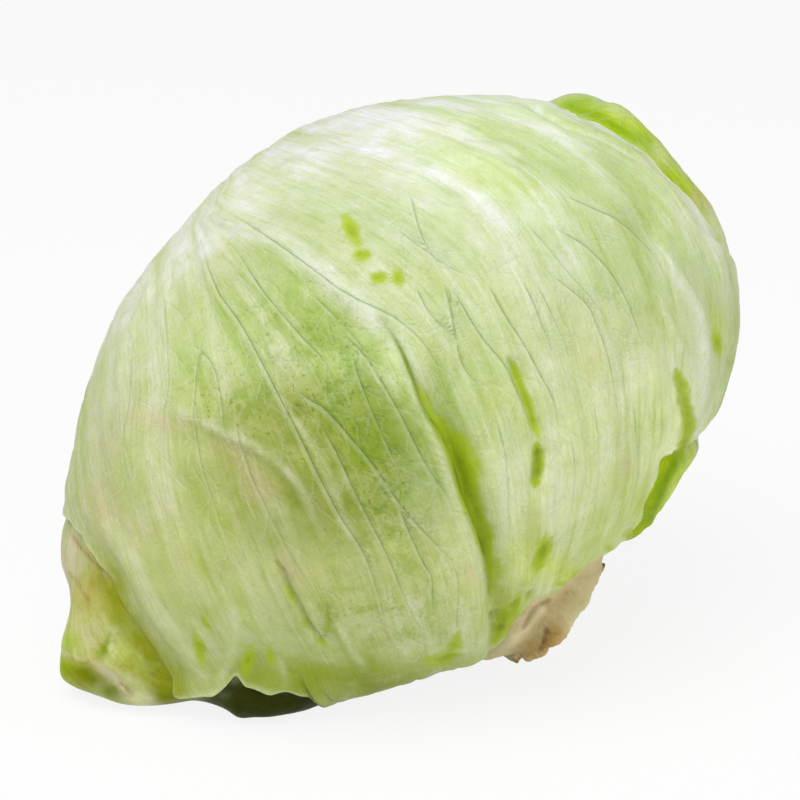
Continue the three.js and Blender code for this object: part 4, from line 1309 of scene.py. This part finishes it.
def make_leaf(index, n, node, slot_name, material, painter):
    """A closed sheet: a fine outside, an inside at half its grid, joined round the margin."""
    leaf = LEAVES[index]
    radius, angle = disc_grid(n)
    broad = leaf.broad_reach(angle)
    reach = broad + (leaf.reach(angle) - broad) * step(radius, 0.72, 1)
    turn = np.radians(angle)
    wave = value_noise(np.column_stack([np.cos(turn), np.sin(turn), 0 * turn]) * 24, index)
    reach = reach + EDGE_WAVE * wave * step(radius, 0.8, 1)
    half = np.radians(reach) / 2
    spread = np.degrees(2 * np.arcsin(np.clip(radius * np.sin(half), -1, 1)))
    dirs = leaf.directions(spread, angle)
    if leaf.inner is None:
        dirs = gather(leaf, dirs)
    distances, shift = layer(index, dirs)
    main, small = veins_of(leaf, index)
    vein, vein_side, vein_size = measure_veins(main, dirs)
    twig, twig_side, _ = measure_veins(small, dirs)
    if leaf.name == "left":
        calm = CORNER_CALM * bell(degrees_between(dirs, CORNER[2][0]) / CALM_SPREAD)
        vein, twig = vein + calm, twig + calm
    fade = step(leaf.to_margin(dirs), 0, RIBS_END)
    ridge_width = 0.7 + 0.55 * vein_size
    distances = distances + fade * np.minimum(LIFT_BY_VEIN * vein_size, 1.0) * bell(vein / ridge_width)
    low = CENTRE[2] / np.maximum(-dirs[:, 2], 1e-6)
    distances = np.where(dirs[:, 2] < LEVEL, np.minimum(distances, low - FLOOR_GAP), distances)
    points = CENTRE + dirs * distances[:, None] + shift
    points[:, 2] = np.maximum(points[:, 2], FLOOR_GAP)
    normals, flip = grid_normals(points, n)
    places, shown = as_seen(points), step(dirs @ FRONT, -0.12, 0.03)
    tint = painter(leaf, index, dirs, places, shown, vein, vein_size)
    if leaf.name == "front":
        green = green_depth(places, shown)
        pitted = np.max([bell(off_oval(*p, places)) for p in PITTED], axis=0) * shown
    else:
        green, pitted = np.full(len(dirs), -GREEN_REACH), np.full(len(dirs), 0.3)
    sink = distances - lowest_near(distances, n, 2)
    coarse = np.arange((n + 1) ** 2).reshape(n + 1, n + 1)[::2, ::2].ravel()
    m = n // 2
    thick = BLADE * (EDGE_THICKNESS + (1 - EDGE_THICKNESS) * step(1 - radius[coarse], 0, 0.05))
    inner = points[coarse] - normals[coarse] * thick[:, None] - dirs[coarse] * (sink[coarse] * 0.8)[:, None]
    inner[:, 2] = np.maximum(inner[:, 2], FLOOR_GAP + thick * 0.8 * (points[coarse][:, 2] < 1))
    offset = len(points)
    faces = grid_quads(n, 0, flip).tolist() + grid_quads(m, offset, not flip).tolist()
    outer_ring, inner_ring = ring_of(n), [offset + k for k in ring_of(m)]
    for k in range(len(inner_ring)):
        a, b, c = (outer_ring[(2 * k + t) % len(outer_ring)] for t in range(3))
        i0, i1 = inner_ring[k], inner_ring[(k + 1) % len(inner_ring)]
        rim = [[a, i0, b], [b, i0, i1], [b, i1, c]]
        faces += rim if flip else [f[::-1] for f in rim]
    grain = fan(leaf, dirs)
    pale_inside = mix_colour(tint[coarse], INSIDE, np.full(len(coarse), 0.55))
    join = lambda outside: np.concatenate([outside, outside[coarse]])
    return new_piece(f"{node}_skin", np.vstack([points, inner]), faces, node, material, {
        "tint": np.vstack([tint, pale_inside]),
        "vein": join(vein), "vein_side": join(vein_side), "vein_size": join(vein_size),
        "twig": join(twig), "twig_side": join(twig_side), "green": join(green), "pitted": join(pitted),
        "grain": np.vstack([grain, grain[coarse]]),
    })


# ---- Materials ----
class Value:
    """A socket in a material. Sums on it become Math nodes."""

    def __init__(self, finish, socket):
        self.finish, self.socket = finish, socket

    def sum(self, operation, *values, clamp=False):
        node = self.finish.node("ShaderNodeMath", dict(operation=operation, use_clamp=clamp),
                                dict(enumerate(values)))
        return Value(self.finish, node.outputs[0])

    def __add__(self, other):
        return self.sum("ADD", self, other)

    def __sub__(self, other):
        return self.sum("SUBTRACT", self, other)

    def __rsub__(self, other):
        return self.sum("SUBTRACT", other, self)

    def __mul__(self, other):
        return self.sum("MULTIPLY", self, other)

    def __abs__(self):
        return self.sum("ABSOLUTE", self)

    __radd__ = __add__
    __rmul__ = __mul__


class Finish:
    """A material under construction."""

    def __init__(self, name):
        self.material = bpy.data.materials.new(name)
        self.material.use_nodes = True
        self.tree = self.material.node_tree
        self.tree.nodes.clear()

    def node(self, kind, settings=None, inputs=None):
        node = self.tree.nodes.new(kind)
        for key, value in (settings or {}).items():
            setattr(node, key, value)
        for key, value in (inputs or {}).items():
            socket = node.inputs[key]
            if isinstance(value, Value):
                self.tree.links.new(value.socket, socket)
            elif isinstance(value, tuple) and socket.type == "RGBA":
                socket.default_value = (*value, 1)
            else:
                socket.default_value = value
        return node

    def out(self, kind, output, settings=None, inputs=None):
        return Value(self, self.node(kind, settings, inputs).outputs[output])

    def attribute(self, name, output="Fac"):
        return self.out("ShaderNodeAttribute", output, dict(attribute_name=name))

    def places(self):
        return self.out("ShaderNodeTexCoord", "Object")

    def scaled(self, vector, by):
        return self.out("ShaderNodeVectorMath", "Vector", dict(operation="MULTIPLY"), {0: vector, 1: by})

    def noise(self, vector, scale, detail=3, rough=0.5):
        return self.out("ShaderNodeTexNoise", "Fac", None,
                        {"Vector": vector, "Scale": scale, "Detail": detail, "Roughness": rough})

    def cells(self, vector, scale):
        return self.out("ShaderNodeTexVoronoi", "Distance", dict(feature="DISTANCE_TO_EDGE"),
                        {"Vector": vector, "Scale": scale})

    def ramp(self, value, start, end, low=0.0, high=1.0):
        return self.out("ShaderNodeMapRange", "Result", dict(interpolation_type="SMOOTHSTEP"),
                        {"Value": value, "From Min": start, "From Max": end, "To Min": low, "To Max": high})

    def blend(self, share, a, b, how="MIX"):
        return self.out("ShaderNodeMix", 2, dict(data_type="RGBA", blend_type=how), {0: share, 6: a, 7: b})

    def bump(self, height, distance, strength):
        return self.out("ShaderNodeBump", "Normal", None,
                        {"Height": height, "Distance": distance, "Strength": strength})

    def finish(self, **inputs):
        shader = self.node("ShaderNodeBsdfPrincipled", None, inputs)
        self.node("ShaderNodeOutputMaterial", None, {"Surface": Value(self, shader.outputs[0])})
        return self.material


def leaf_material(name, net=1.0, wax=0.45, shine=0.18):
    """Waxy leaf: its painted tint, with streaks, mottling, a fine net, pits and drawn veins; each vein has
    a painted highlight on its lit side and painted shade on the other, and the hollows get painted shade.
    """
    f = Finish(name)
    tint = f.attribute("tint", "Color")
    grain = f.attribute("grain", "Vector")
    place = f.places()
    side, far, size = f.attribute("vein_side"), f.attribute("vein"), f.attribute("vein_size")
    twig_side, twig_far = f.attribute("twig_side"), f.attribute("twig")
    green, pitted = f.attribute("green"), f.attribute("pitted")

    streaks = f.noise(f.scaled(grain, (0.9, 0.9, 0.06)), 1.0, 4, 0.62)
    threads = f.noise(f.scaled(grain, (3.0, 3.0, 0.14)), 1.0, 3, 0.6)
    mottle = f.noise(place, 230, 4, 0.62)
    broad = f.noise(place, 80, 3, 0.55)
    cells = f.ramp(f.cells(place, 420), 0.0, 0.2, 1, 0)
    fine_cells = f.ramp(f.cells(place, 700), 0.0, 0.16, 1, 0)
    pits = f.ramp(f.noise(place, 1150, 1, 0.5), 0.655, 0.72)
    # deep green in the hollows, partly the greener tissue and partly painted shade, darker still at their
    # core as painted shade
    hollow = f.ramp(green + (mottle - 0.5) * 2.4, -0.5, 0.9)
    shaded_core = f.ramp(green + (mottle - 0.5) * 1.6, 0.7, 2.1)
    plain = 1 - hollow

    # veins: a dark line set a little toward the shaded side, a soft band of painted shade beside it and a
    # band of painted highlight on the lit side; small veins alike
    near_vein = f.ramp(far, 0.6, 1.1, 1, 0)
    dark_line = (f.ramp(abs(side - size * 0.08), 0.02, 0.26, 1, 0) * near_vein
                 * f.ramp(size, 0.15, 0.9, 0.0, 0.58))
    vein_shade = (f.ramp(abs(side - size * 0.5), 0.1, 0.9, 1, 0) * near_vein
                 * f.ramp(size, 0.2, 0.9, 0.0, 0.16))
    vein_highlight = (f.ramp(abs(side + size * 0.55), size * 0.1, size * 0.5 + 0.4, 1, 0)
                  * f.ramp(far, 0.9, 1.8, 1, 0))
    pale = f.ramp(f.attribute("tint"), 0.06, 0.30)
    vein_highlight = vein_highlight * f.ramp(size, 0.1, 1.0, 0.03, 0.20) * pale
    near_twig = f.ramp(twig_far, 0.5, 0.9, 1, 0)
    twig_dark = f.ramp(abs(twig_side), 0.02, 0.22, 1, 0) * near_twig * 0.16
    twig_highlight = f.ramp(abs(twig_side + 0.3), 0.1, 0.45, 1, 0) * near_twig * pale * 0.10

    lighter, darker = (1.17, 1.10, 1.42), (0.80, 0.88, 0.56)
    colour = tint
    for share, tone in (
            (f.ramp(mottle, 0.46, 0.64, 0, 0.75) * (pitted * 0.85 + 0.15), (0.66, 0.79, 0.36)),
            (f.ramp(mottle, 0.50, 0.34, 0, 0.60) * (pitted * 0.6 + 0.3), lighter),
            (f.ramp(streaks, 0.50, 0.72, 0, 0.75), lighter),
            (f.ramp(streaks, 0.49, 0.28, 0, 0.75), darker),
            (f.ramp(threads, 0.52, 0.72, 0, 0.50), lighter),
            (f.ramp(threads, 0.48, 0.30, 0, 0.50), darker),
            (f.ramp(broad, 0.52, 0.74, 0, 0.55), lighter),
            (f.ramp(broad, 0.46, 0.26, 0, 0.50), (0.94, 0.88, 0.62)),
            (cells * (0.25 * net) * (0.25 + pitted), lighter),
            (fine_cells * (0.22 * net), darker),
            (pits * (pitted * 0.75 + 0.05), (0.55, 0.63, 0.30))):
        colour = f.blend(share, colour, tone, "MULTIPLY")
    # painted highlight on the lit side of the veins
    colour = f.blend(vein_highlight + twig_highlight, colour, (0.76, 0.80, 0.62))
    # the veins' dark lines, with painted shade on their shaded side
    colour = f.blend(dark_line + vein_shade + twig_dark, colour, (0.48, 0.58, 0.42), "MULTIPLY")
    # painted shade in the hollows, partly the greener tissue
    colour = f.blend(hollow * f.ramp(f.attribute("tint"), 0.17, 0.27, 0.2, 0.9), colour,
                     (0.41, 0.54, 0.008))
    colour = f.blend(shaded_core * 0.85, colour, (0.24, 0.33, 0.001))

    height = vein_highlight * 0.5 - dark_line * 0.9 - twig_dark * 0.8 + cells * 0.14 * plain
    height = height + streaks * 0.6 + threads * 0.25 + mottle * 0.5 + fine_cells * 0.05 - pits * 0.2
    return f.finish(**{
        "Base Color": colour,
        "Roughness": f.ramp(mottle, 0.3, 0.7, wax - 0.05, wax + 0.13),
        "Normal": f.bump(height, 0.00030, 0.9),
        "Subsurface Weight": 0.22, "Subsurface Radius": (0.9, 1.0, 0.35), "Subsurface Scale": 0.0014,
        "Specular IOR Level": shine,
    })


def flesh_material(name, light, dark, wet=0.55):
    """Cut or torn flesh: strands along the stem, browned where the tint says so."""
    f = Finish(name)
    tint = f.attribute("tint", "Color")
    place = f.places()
    grain = f.attribute("grain", "Vector")
    strands = f.noise(f.scaled(grain, (1, 1, 0.15)), 1.6, 4, 0.65)
    blotch = f.noise(place, 320, 4, 0.6)
    specks = f.ramp(f.noise(place, 1300, 2, 0.6), 0.60, 0.72)
    colour = f.blend(f.ramp(strands, 0.45, 0.7, 0, 0.3), tint, light)
    colour = f.blend(f.ramp(blotch, 0.52, 0.74, 0, 0.16), colour, dark)
    colour = f.blend(specks * 0.12, colour, dark)
    height = strands * 0.4 + blotch * 0.3 - specks * 0.1
    return f.finish(**{
        "Base Color": colour,
        "Roughness": f.ramp(blotch, 0.3, 0.7, wet - 0.1, wet + 0.15),
        "Normal": f.bump(height, 0.0004, 0.9),
        "Subsurface Weight": 0.15, "Subsurface Radius": (1.0, 0.7, 0.35), "Subsurface Scale": 0.002,
    })


# ---- Stem and broken leaf bases ----
CUT_FACE = STEM_FACE_FROM_CENTRE - 3        # the cut lies hidden behind the long broken base
CUT_RIM = STEM_FACE_FROM_CENTRE - 3.7
STEM_FRONT = unit(FRONT - STEM_AXIS * (FRONT @ STEM_AXIS))
STEM_ASIDE = np.cross(STEM_FRONT, STEM_AXIS)


def stem_place(out, round_degrees, length):
    """A point at a radius, an angle round the stem and a length along it. As in the solids, the
    angle grows away from STEM_ASIDE."""
    a = np.radians(round_degrees)
    side = np.cos(a)[..., None] * STEM_FRONT - np.sin(a)[..., None] * STEM_ASIDE
    return CENTRE + side * np.asarray(out)[..., None] + STEM_AXIS * np.asarray(length)[..., None]


def closed_loft(rings):
    """Points and faces over successive closed rings, with a fan over each end."""
    count, around = rings.shape[:2]
    r, k = np.meshgrid(np.arange(count - 1), np.arange(around), indexing="ij")
    a, b = (r * around + k).ravel(), (r * around + (k + 1) % around).ravel()
    faces = np.column_stack([a, b, b + around, a + around]).tolist()
    first, end = count * around, (count - 1) * around
    for j in range(around):
        ahead = (j + 1) % around
        faces.append([first, ahead, j])
        faces.append([first + 1, end + j, end + ahead])
    return with_ends(rings), faces


def with_ends(rings):
    """Values at the points of closed_loft: those of the rings, then of the two fans' middles."""
    return np.vstack([rings.reshape(-1, rings.shape[-1]), rings[0].mean(axis=0), rings[-1].mean(axis=0)])


def stem_grain(points):
    """Coordinates that run with the stem's strands."""
    local = points - CENTRE
    return np.column_stack([local @ STEM_FRONT, local @ STEM_ASIDE, local @ STEM_AXIS])


def make_stem(material):
    """The stem's cone, from its tip in the head to its cut end, with a browned, uneven cut face."""
    spokes = 120
    angles = np.arange(spokes) * 360 / spokes
    ring = np.column_stack([np.cos(np.radians(angles)), np.sin(np.radians(angles))])
    rings, tints = [], []
    for length in np.linspace(STEM_TIP_FROM_CENTRE + 0.4, CUT_RIM, 46):
        base = STEM_RADIUS / STEM_FACE_FROM_CENTRE * length * 0.985
        ridge = 0.35 * value_noise(np.column_stack([ring * 6, np.full(spokes, length / 16)]), 5)
        rings.append(stem_place(base + ridge - 0.3, angles, np.full(spokes, length)))
        tints.append(np.tile((0.68, 0.60, 0.33), (spokes, 1)))
    for share in (0.985, 0.95, 0.90, 0.83, 0.75, 0.66, 0.56, 0.46, 0.36, 0.26, 0.16, 0.06):
        p = np.column_stack([ring * share * 5, np.zeros(spokes)])
        rough = 0.45 * crumple(p, 8, 3) + 0.3 * math.sin(share * 16)
        length = CUT_FACE + rough - 0.7 * share ** 6
        rings.append(stem_place(np.full(spokes, (STEM_RADIUS - 0.4) * share), angles, length))
        brown = np.clip(0.35 + 0.5 * crumple(p * 0.7, 12, 3) + 0.4 * share ** 8, 0, 1)
        tints.append(mix_colour(np.tile((0.60, 0.48, 0.22), (spokes, 1)), (0.38, 0.23, 0.07), brown))
    points, faces = closed_loft(np.array(rings))
    return new_piece("stem_flesh_body", points, faces, "stem", material,
                     {"tint": with_ends(np.array(tints)), "grain": stem_grain(points)})


# The long broken base that faces the front: how far its torn end stands along the stem, for
# places aside of the stem, and the ribs, hollows and lumps on it as they show to FRONT.
TORN_ASIDE = (-22.5, -20.4, -18.3, -16.2, -14.9, -11, -9.4, -7.4, -4.4, -0.8, 1.6, 5.3, 9.0, 12.0, 15.0)
TORN_LENGTH = (60.2, 61.4, 62.9, 64.6, 66.4, 67.7, 66.7, 67.2, 67.5, 66.5, 65.8, 65.0, 63.4, 61.4, 58.6)
LONG_BASE_FROM = 50         # how far along the stem its sheet starts
BUTT_RADIUS = 24.5          # of the broken leaves round the stem
CREAM = (0.82, 0.71, 0.44)
TORN_TAN = (0.50, 0.36, 0.14)
TORN_BROWN = (0.50, 0.30, 0.075)
BUTT_MARKS = [
    ([(20, -62.8), (25, -59), (29.6, -54), (33, -50.4)], 2.1, 0.9, CREAM, 0.85),
    ([(27.4, -62), (32.6, -57), (37, -50.4), (41, -46.4)], 2.0, -0.7, TORN_TAN, 0.9),
    ([(39, -57), (41.6, -52.5), (45.4, -46.6)], 2.5, 0.8, (0.68, 0.60, 0.32), 0.9),
    ([(36.2, -57.6), (37.6, -55.6)], 1.9, 2.2, TORN_BROWN, 0.95),
    ([(31.4, -60.8), (33.6, -60.2)], 2.0, 2.0, (0.46, 0.28, 0.085), 0.95),
    # painted shadow above the torn curl, in the groove between the lumps
    ([(33.6, -59.2), (34.4, -58), (35.4, -55.4)], 0.6, -1.0, (0.30, 0.17, 0.05), 0.9),
    # painted shade under the front leaf's margin
    ([(29.6, -54), (32.6, -49.6), (36, -48)], 0.6, -0.5, (0.34, 0.22, 0.07), 0.8),
    ([(24.5, -62.6), (29, -61.6)], 0.5, -0.4, (0.38, 0.24, 0.08), 0.7),
]


def marks(places):
    """Height and colour of the torn base at places on it, as they show to FRONT."""
    flat, local = as_seen(places), places - CENTRE
    noise = crumple(local / 3.5, 19, 3)
    height = 0.16 * noise
    colour = mix_colour(np.tile((0.72, 0.59, 0.33), (len(places), 1)), TORN_TAN, np.clip(0.5 * noise, 0, 1))
    for points, half, raised, tint, strength in BUTT_MARKS:
        path = smooth_path(points, 0.4)
        away = np.sqrt(((flat[:, None] - path) ** 2).sum(axis=2).min(axis=1))
        w = bell(away / half)
        height = height + raised * w
        colour = mix_colour(colour, tint, np.clip(strength * w * (1 + 0.3 * noise), 0, 1))
    return height, colour


def evened(grid, times):
    """A grid of values with each one the mean of five, first one way and then the other."""
    rows, columns = grid.shape
    for _ in range(times):
        wide = np.pad(grid, 2, mode="edge")
        grid = sum(wide[i:i + rows, 2:-2] for i in range(5)) / 5
        wide = np.pad(grid, 2, mode="edge")
        grid = sum(wide[2:-2, i:i + columns] for i in range(5)) / 5
    return grid


def make_long_base(name, material):
    """The torn base of an outer leaf: it comes from under the front leaf and ends in a ragged edge."""
    across, along_it = 120, 64
    aside = np.linspace(TORN_ASIDE[0], TORN_ASIDE[-1], across)
    end = np.interp(aside, TORN_ASIDE, TORN_LENGTH)
    end = np.convolve(np.pad(end, 2, mode="edge"), np.full(5, 0.2), mode="valid")
    end = end + 0.4 * crumple(np.column_stack([aside / 2, 0 * aside, 0 * aside]), 23, 3)
    share = np.linspace(0, 1, along_it) ** 0.8
    u = np.repeat(aside, along_it)
    length = (LONG_BASE_FROM + (end[:, None] - LONG_BASE_FROM) * share).ravel()
    end = np.repeat(end, along_it)
    at_end = 0.78 * np.sqrt(np.maximum(BUTT_RADIUS ** 2 - (u + 4) ** 2, 0))
    out = np.full(len(u), 25.0)
    for _ in range(14):
        dirs = unit(u[:, None] * STEM_ASIDE + length[:, None] * STEM_AXIS + out[:, None] * STEM_FRONT)
        free = step(-LEAVES[0].to_margin(dirs), -0.6, 8)
        hollow = swell(dirs, STEM_AXIS, BUTT_HOLLOW_SPREAD, BUTT_HOLLOW)
        radius = (layer(0, dirs)[0] - 0.8) * (1 - free) + (skin(dirs) + hollow - 0.6) * free
        on_head = np.sqrt(np.maximum(radius ** 2 - length ** 2 - u ** 2, 1))
        out = 0.6 * out + 0.4 * np.maximum(on_head, at_end - 5)
    out = evened(out.reshape(across, along_it), 3).ravel()
    straight = at_end + 0.6 * (end - length)
    out = -soft_min(-out, -straight, 3) + 0.5 * bell((end - length) / 1.6)
    outer = CENTRE + u[:, None] * STEM_ASIDE + length[:, None] * STEM_AXIS + out[:, None] * STEM_FRONT
    height, tint = marks(outer)
    grid = outer.reshape(across, along_it, 3)
    normal = unit(np.cross(np.gradient(grid, axis=0), np.gradient(grid, axis=1)).reshape(-1, 3))
    normal = normal * np.sign((normal @ STEM_FRONT).sum())
    outer = outer + normal * (height * step(share, 0.3, 0.6)[None].repeat(across, 0).ravel())[:, None]
    side = np.minimum(np.arange(across), np.arange(across)[::-1])
    thick = (0.8 + 2.6 * step(share, 0.4, 1)[None] * step(side, 0, 9)[:, None]).ravel()
    inner = outer - normal * thick[:, None]
    outer, inner = outer.reshape(grid.shape), inner.reshape(grid.shape)
    tint = tint.reshape(grid.shape)
    rings, tints = [outer], [tint]
    for k in range(1, 7):
        t = k / 7
        edge = outer[:, -1] * (1 - t) + inner[:, -1] * t
        rough = 0.5 * math.sin(math.pi * t) * (1 + crumple(edge / 1.6, 27, 3))
        rings.append((edge + rough[:, None] * STEM_AXIS)[:, None])
        brown = np.clip(0.45 + 0.5 * crumple(edge / 2.4, 28, 3), 0, 1)
        tints.append(mix_colour(tint[:, -1], (0.36, 0.21, 0.06), brown)[:, None])
    rings = np.concatenate(rings + [inner[:, ::-1]], axis=1)
    # the inner side gets the outer side's tint darkened: painted shade
    tints = np.concatenate(tints + [tint[:, ::-1] * 0.8], axis=1)
    points, faces = closed_loft(rings)
    return new_piece(f"{name}_torn", points, faces, name, material,
                     {"tint": with_ends(tints), "grain": stem_grain(points)})


# The other broken bases: node, middle of each round the stem, its width, thickness, where it
# starts along the stem and how far it stands from there.
BASES = (
    ("broken_leaf_base_2", 92, 60, 3.4, 61.5, 5.2),
    ("broken_leaf_base_3", 170, 84, 4, 61.5, 4.5),
    ("broken_leaf_base_4", 264, 74, 2.2, 56.6, 2.0),
)
BASE_INNER_RADIUS = STEM_RADIUS + 0.5


def make_base(number, name, middle, width, thickness, begin, height, material):
    """A curved plate against the stem, with a torn outer end."""
    across, up = 110, 16
    share = np.linspace(0, 1, across)
    angles = middle + (share - 0.5) * width
    q = np.column_stack([share * width / 9, np.full(across, number * 3.1), np.zeros(across)])
    taper = np.sin(np.pi * np.clip(share, 0.002, 0.998)) ** 0.28
    torn = (height * taper * (0.86 + 0.20 * crumple(q * 1.2, 21 + number, 3)) + 0.2)[:, None]
    wall = (thickness * taper * (0.92 + 0.10 * crumple(q, 31 + number, 2)) + 0.25)[:, None]
    h = np.linspace(0, 1, up)[None]
    e = np.arange(1, 9)[None] / 9
    dip = 0.7 * np.sin(np.pi * e) * (1 + 0.5 * crumple(q * 2, 51 + number, 2)[:, None])
    out = np.hstack([BASE_INNER_RADIUS + wall * (1 + 0.09 * np.sin(np.pi * h)) - 0.8 * h ** 3,
                     BASE_INNER_RADIUS + (wall - 0.8) * (1 - e),
                     np.full((across, up), BASE_INNER_RADIUS + 0.05)])
    length = np.hstack([begin + torn * h, begin + torn - dip * 0.8 + 0.25, begin + torn * h[:, ::-1]])
    around = out.shape[1]
    p = np.column_stack([np.repeat(share * width / 5, around), out.ravel() / 2.4, length.ravel() / 2.4])
    out = out.ravel() + 0.22 * crumple(p, 61 + number, 3) * (out.ravel() > BASE_INNER_RADIUS + 0.3)
    length = length.ravel() + 0.18 * crumple(p, 71 + number, 3) * (length.ravel() > begin + 0.5)
    rings = stem_place(out, np.repeat(angles, around), length).reshape(across, around, 3)
    high = np.clip((length - begin) / height, 0, 1)
    brown = np.clip(step(high, 0.55, 1.0) * 0.8 + 0.35 * crumple(p * 0.6, 81 + number, 3), 0, 1)
    tints = mix_colour(np.tile((0.62, 0.52, 0.27), (len(out), 1)), (0.44, 0.27, 0.08), brown)
    points, faces = closed_loft(rings)
    return new_piece(f"{name}_torn", points, faces, name, material,
                     {"tint": with_ends(tints.reshape(across, around, 3)), "grain": stem_grain(points)})


# ---- The tight bud in the middle ----
def make_heart(material):
    """One closed bud under the head leaves, with a socket for the stem's tip."""
    rows, spokes = 90, 120
    share = 1 - (HEAD_LEAF_START + HEAD_LEAF_PITCH * HEAD_LEAF_COUNT) / MEAN_RADIUS
    around = np.arange(spokes) * 2 * math.pi / spokes
    socket = STEM_TIP_FROM_CENTRE - 0.8
    rings = []
    for angle in np.radians(np.linspace(STEM_CLEAR_ANGLE, 179.5, rows)):
        side = np.cos(around)[:, None] * LENGTH_AXIS + np.sin(around)[:, None] * WIDTH_AXIS
        dirs = math.cos(angle) * STEM_AXIS + math.sin(angle) * side
        radius = settled(dirs, round_head(dirs), INNER_SETTLING) * share
        swirl = np.column_stack([np.cos(around + 1.6 * angle) * 3, np.sin(around + 1.6 * angle) * 3,
                                 np.full(spokes, angle * 1.2)])
        radius = radius - 0.5 + 0.5 * crumple(swirl, 91, 3)
        if not rings:
            radius = np.full(spokes, socket / math.cos(angle))
        rings.append(CENTRE + dirs * radius[:, None])
    points, faces = closed_loft(np.array(rings))
    count = len(points)
    far = np.full(count, FARTHEST_VEIN)
    return new_piece("heart_bud", points, faces, "heart", material, {
        "tint": np.tile((0.84, 0.80, 0.42), (count, 1)), "grain": points - CENTRE,
        "vein": far, "vein_side": far, "vein_size": np.full(count, 0.2), "twig": far, "twig_side": far,
        "green": np.full(count, -GREEN_REACH), "pitted": np.zeros(count),
    })


# ---- The room ----
FLOOR_HALF_SIDE = 6.0       # metres
FLOOR_GLOW = 0.87           # how far the floor shows as plain white to the camera
LAMP_DISTANCE = 1300
SURROUND_STRENGTH = 0.34


def floor_material():
    """Pale floor that runs into a white surround and keeps the head's shadow."""
    f = Finish("pale_floor")
    path = f.node("ShaderNodeLightPath")
    straight = Value(f, path.outputs["Is Camera Ray"])
    glossy = Value(f, path.outputs["Is Glossy Ray"])
    through = Value(f, path.outputs["Is Transmission Ray"])
    bounce = f.out("ShaderNodeBsdfDiffuse", 0, None, {"Color": (0.86, 0.86, 0.85)})
    glow = f.out("ShaderNodeEmission", 0, None, {"Color": (1.0, 1.0, 1.0), "Strength": 1.0})
    share = straight.sum("ADD", straight + glossy, through, clamp=True) * FLOOR_GLOW
    mixed = f.out("ShaderNodeMixShader", 0, None, {0: share, 1: bounce, 2: glow})
    f.node("ShaderNodeOutputMaterial", None, {"Surface": mixed})
    return f.material


def make_floor():
    mesh = bpy.data.meshes.new("floor")
    far = FLOOR_HALF_SIDE
    mesh.from_pydata([(-far, -far, 0), (far, -far, 0), (far, far, 0), (-far, far, 0)], [], [(0, 1, 2, 3)])
    mesh.materials.append(floor_material())
    floor = bpy.data.objects.new("floor", mesh)
    bpy.context.scene.collection.objects.link(floor)


def aim(place, target, up):
    """A matrix at place whose -Z points to target."""
    back = unit(place - target)
    right = unit(np.cross(up, back))
    top = np.cross(back, right)
    matrix = Matrix(np.column_stack([right, top, back]).tolist()).to_4x4()
    matrix.translation = (place * MM).tolist()
    return matrix


def make_camera():
    data = bpy.data.cameras.new("camera")
    data.lens, data.sensor_width = 150, 36
    camera = bpy.data.objects.new("camera", data)
    bpy.context.scene.collection.objects.link(camera)
    camera.matrix_world = aim(CENTRE + FRONT * EYE_DISTANCE, CENTRE, UP)
    bpy.context.scene.camera = camera


def make_lamp(name, direction, size, power):
    data = bpy.data.lights.new(name, "AREA")
    data.shape, data.size, data.energy = "DISK", size, power
    lamp = bpy.data.objects.new(name, data)
    bpy.context.scene.collection.objects.link(lamp)
    place = CENTRE + unit(np.array(direction)) * LAMP_DISTANCE
    lamp.matrix_world = aim(place, CENTRE, np.array([0, 0.3, 1]))


def make_light():
    world = bpy.data.worlds.new("surround")
    bpy.context.scene.world = world
    world.use_nodes = True
    tree = world.node_tree
    tree.nodes.clear()
    path, mix = tree.nodes.new("ShaderNodeLightPath"), tree.nodes.new("ShaderNodeMixShader")
    tree.links.new(path.outputs["Is Camera Ray"], mix.inputs[0])
    light, white = ((0.97, 0.985, 1.0, 1), SURROUND_STRENGTH), ((1, 1, 1, 1), 1.0)
    for socket, (colour, strength) in enumerate((light, white), 1):
        ground = tree.nodes.new("ShaderNodeBackground")
        ground.inputs["Color"].default_value = colour
        ground.inputs["Strength"].default_value = strength
        tree.links.new(ground.outputs[0], mix.inputs[socket])
    tree.links.new(mix.outputs[0], tree.nodes.new("ShaderNodeOutputWorld").inputs[0])
    make_lamp("overhead", (-0.25, -0.45, 1.0), 1.3, 15.2)
    make_lamp("fill", (1.0, -0.55, 0.15), 1.2, 5)
    bpy.context.scene.view_settings.view_transform = "Standard"


def build():
    make_camera()
    make_light()
    make_floor()
    waxy = leaf_material("waxy_outer_leaf")
    wrapper = leaf_material("green_outer_leaf", net=0.8, wax=0.5, shine=0.06)
    inner = leaf_material("crisp_inner_leaf", net=0.6, wax=0.38)
    stem = flesh_material("stem_flesh", (0.80, 0.68, 0.40), (0.42, 0.25, 0.08))
    torn = flesh_material("torn_leaf_base", (0.80, 0.72, 0.48), (0.44, 0.27, 0.09))
    for index, leaf in enumerate(LEAVES):
        if leaf.inner is not None:
            made = f"head_leaf_{leaf.inner + 1}", "head_leaf", inner, inner_colour
        elif leaf.name == "front":
            made = "front_wrapper_leaf", "front_leaf", waxy, front_colour
        else:
            made = f"{leaf.name}_wrapper_leaf", "wrapper_leaf", wrapper, blade_colour
        make_leaf(index, GRID.get(leaf.name, HEAD_LEAF_GRID), *made)
    make_heart(inner)
    make_stem(stem)
    make_long_base("broken_leaf_base_1", torn)
    for number, base in enumerate(BASES, 1):
        make_base(number, *base, torn)


build()
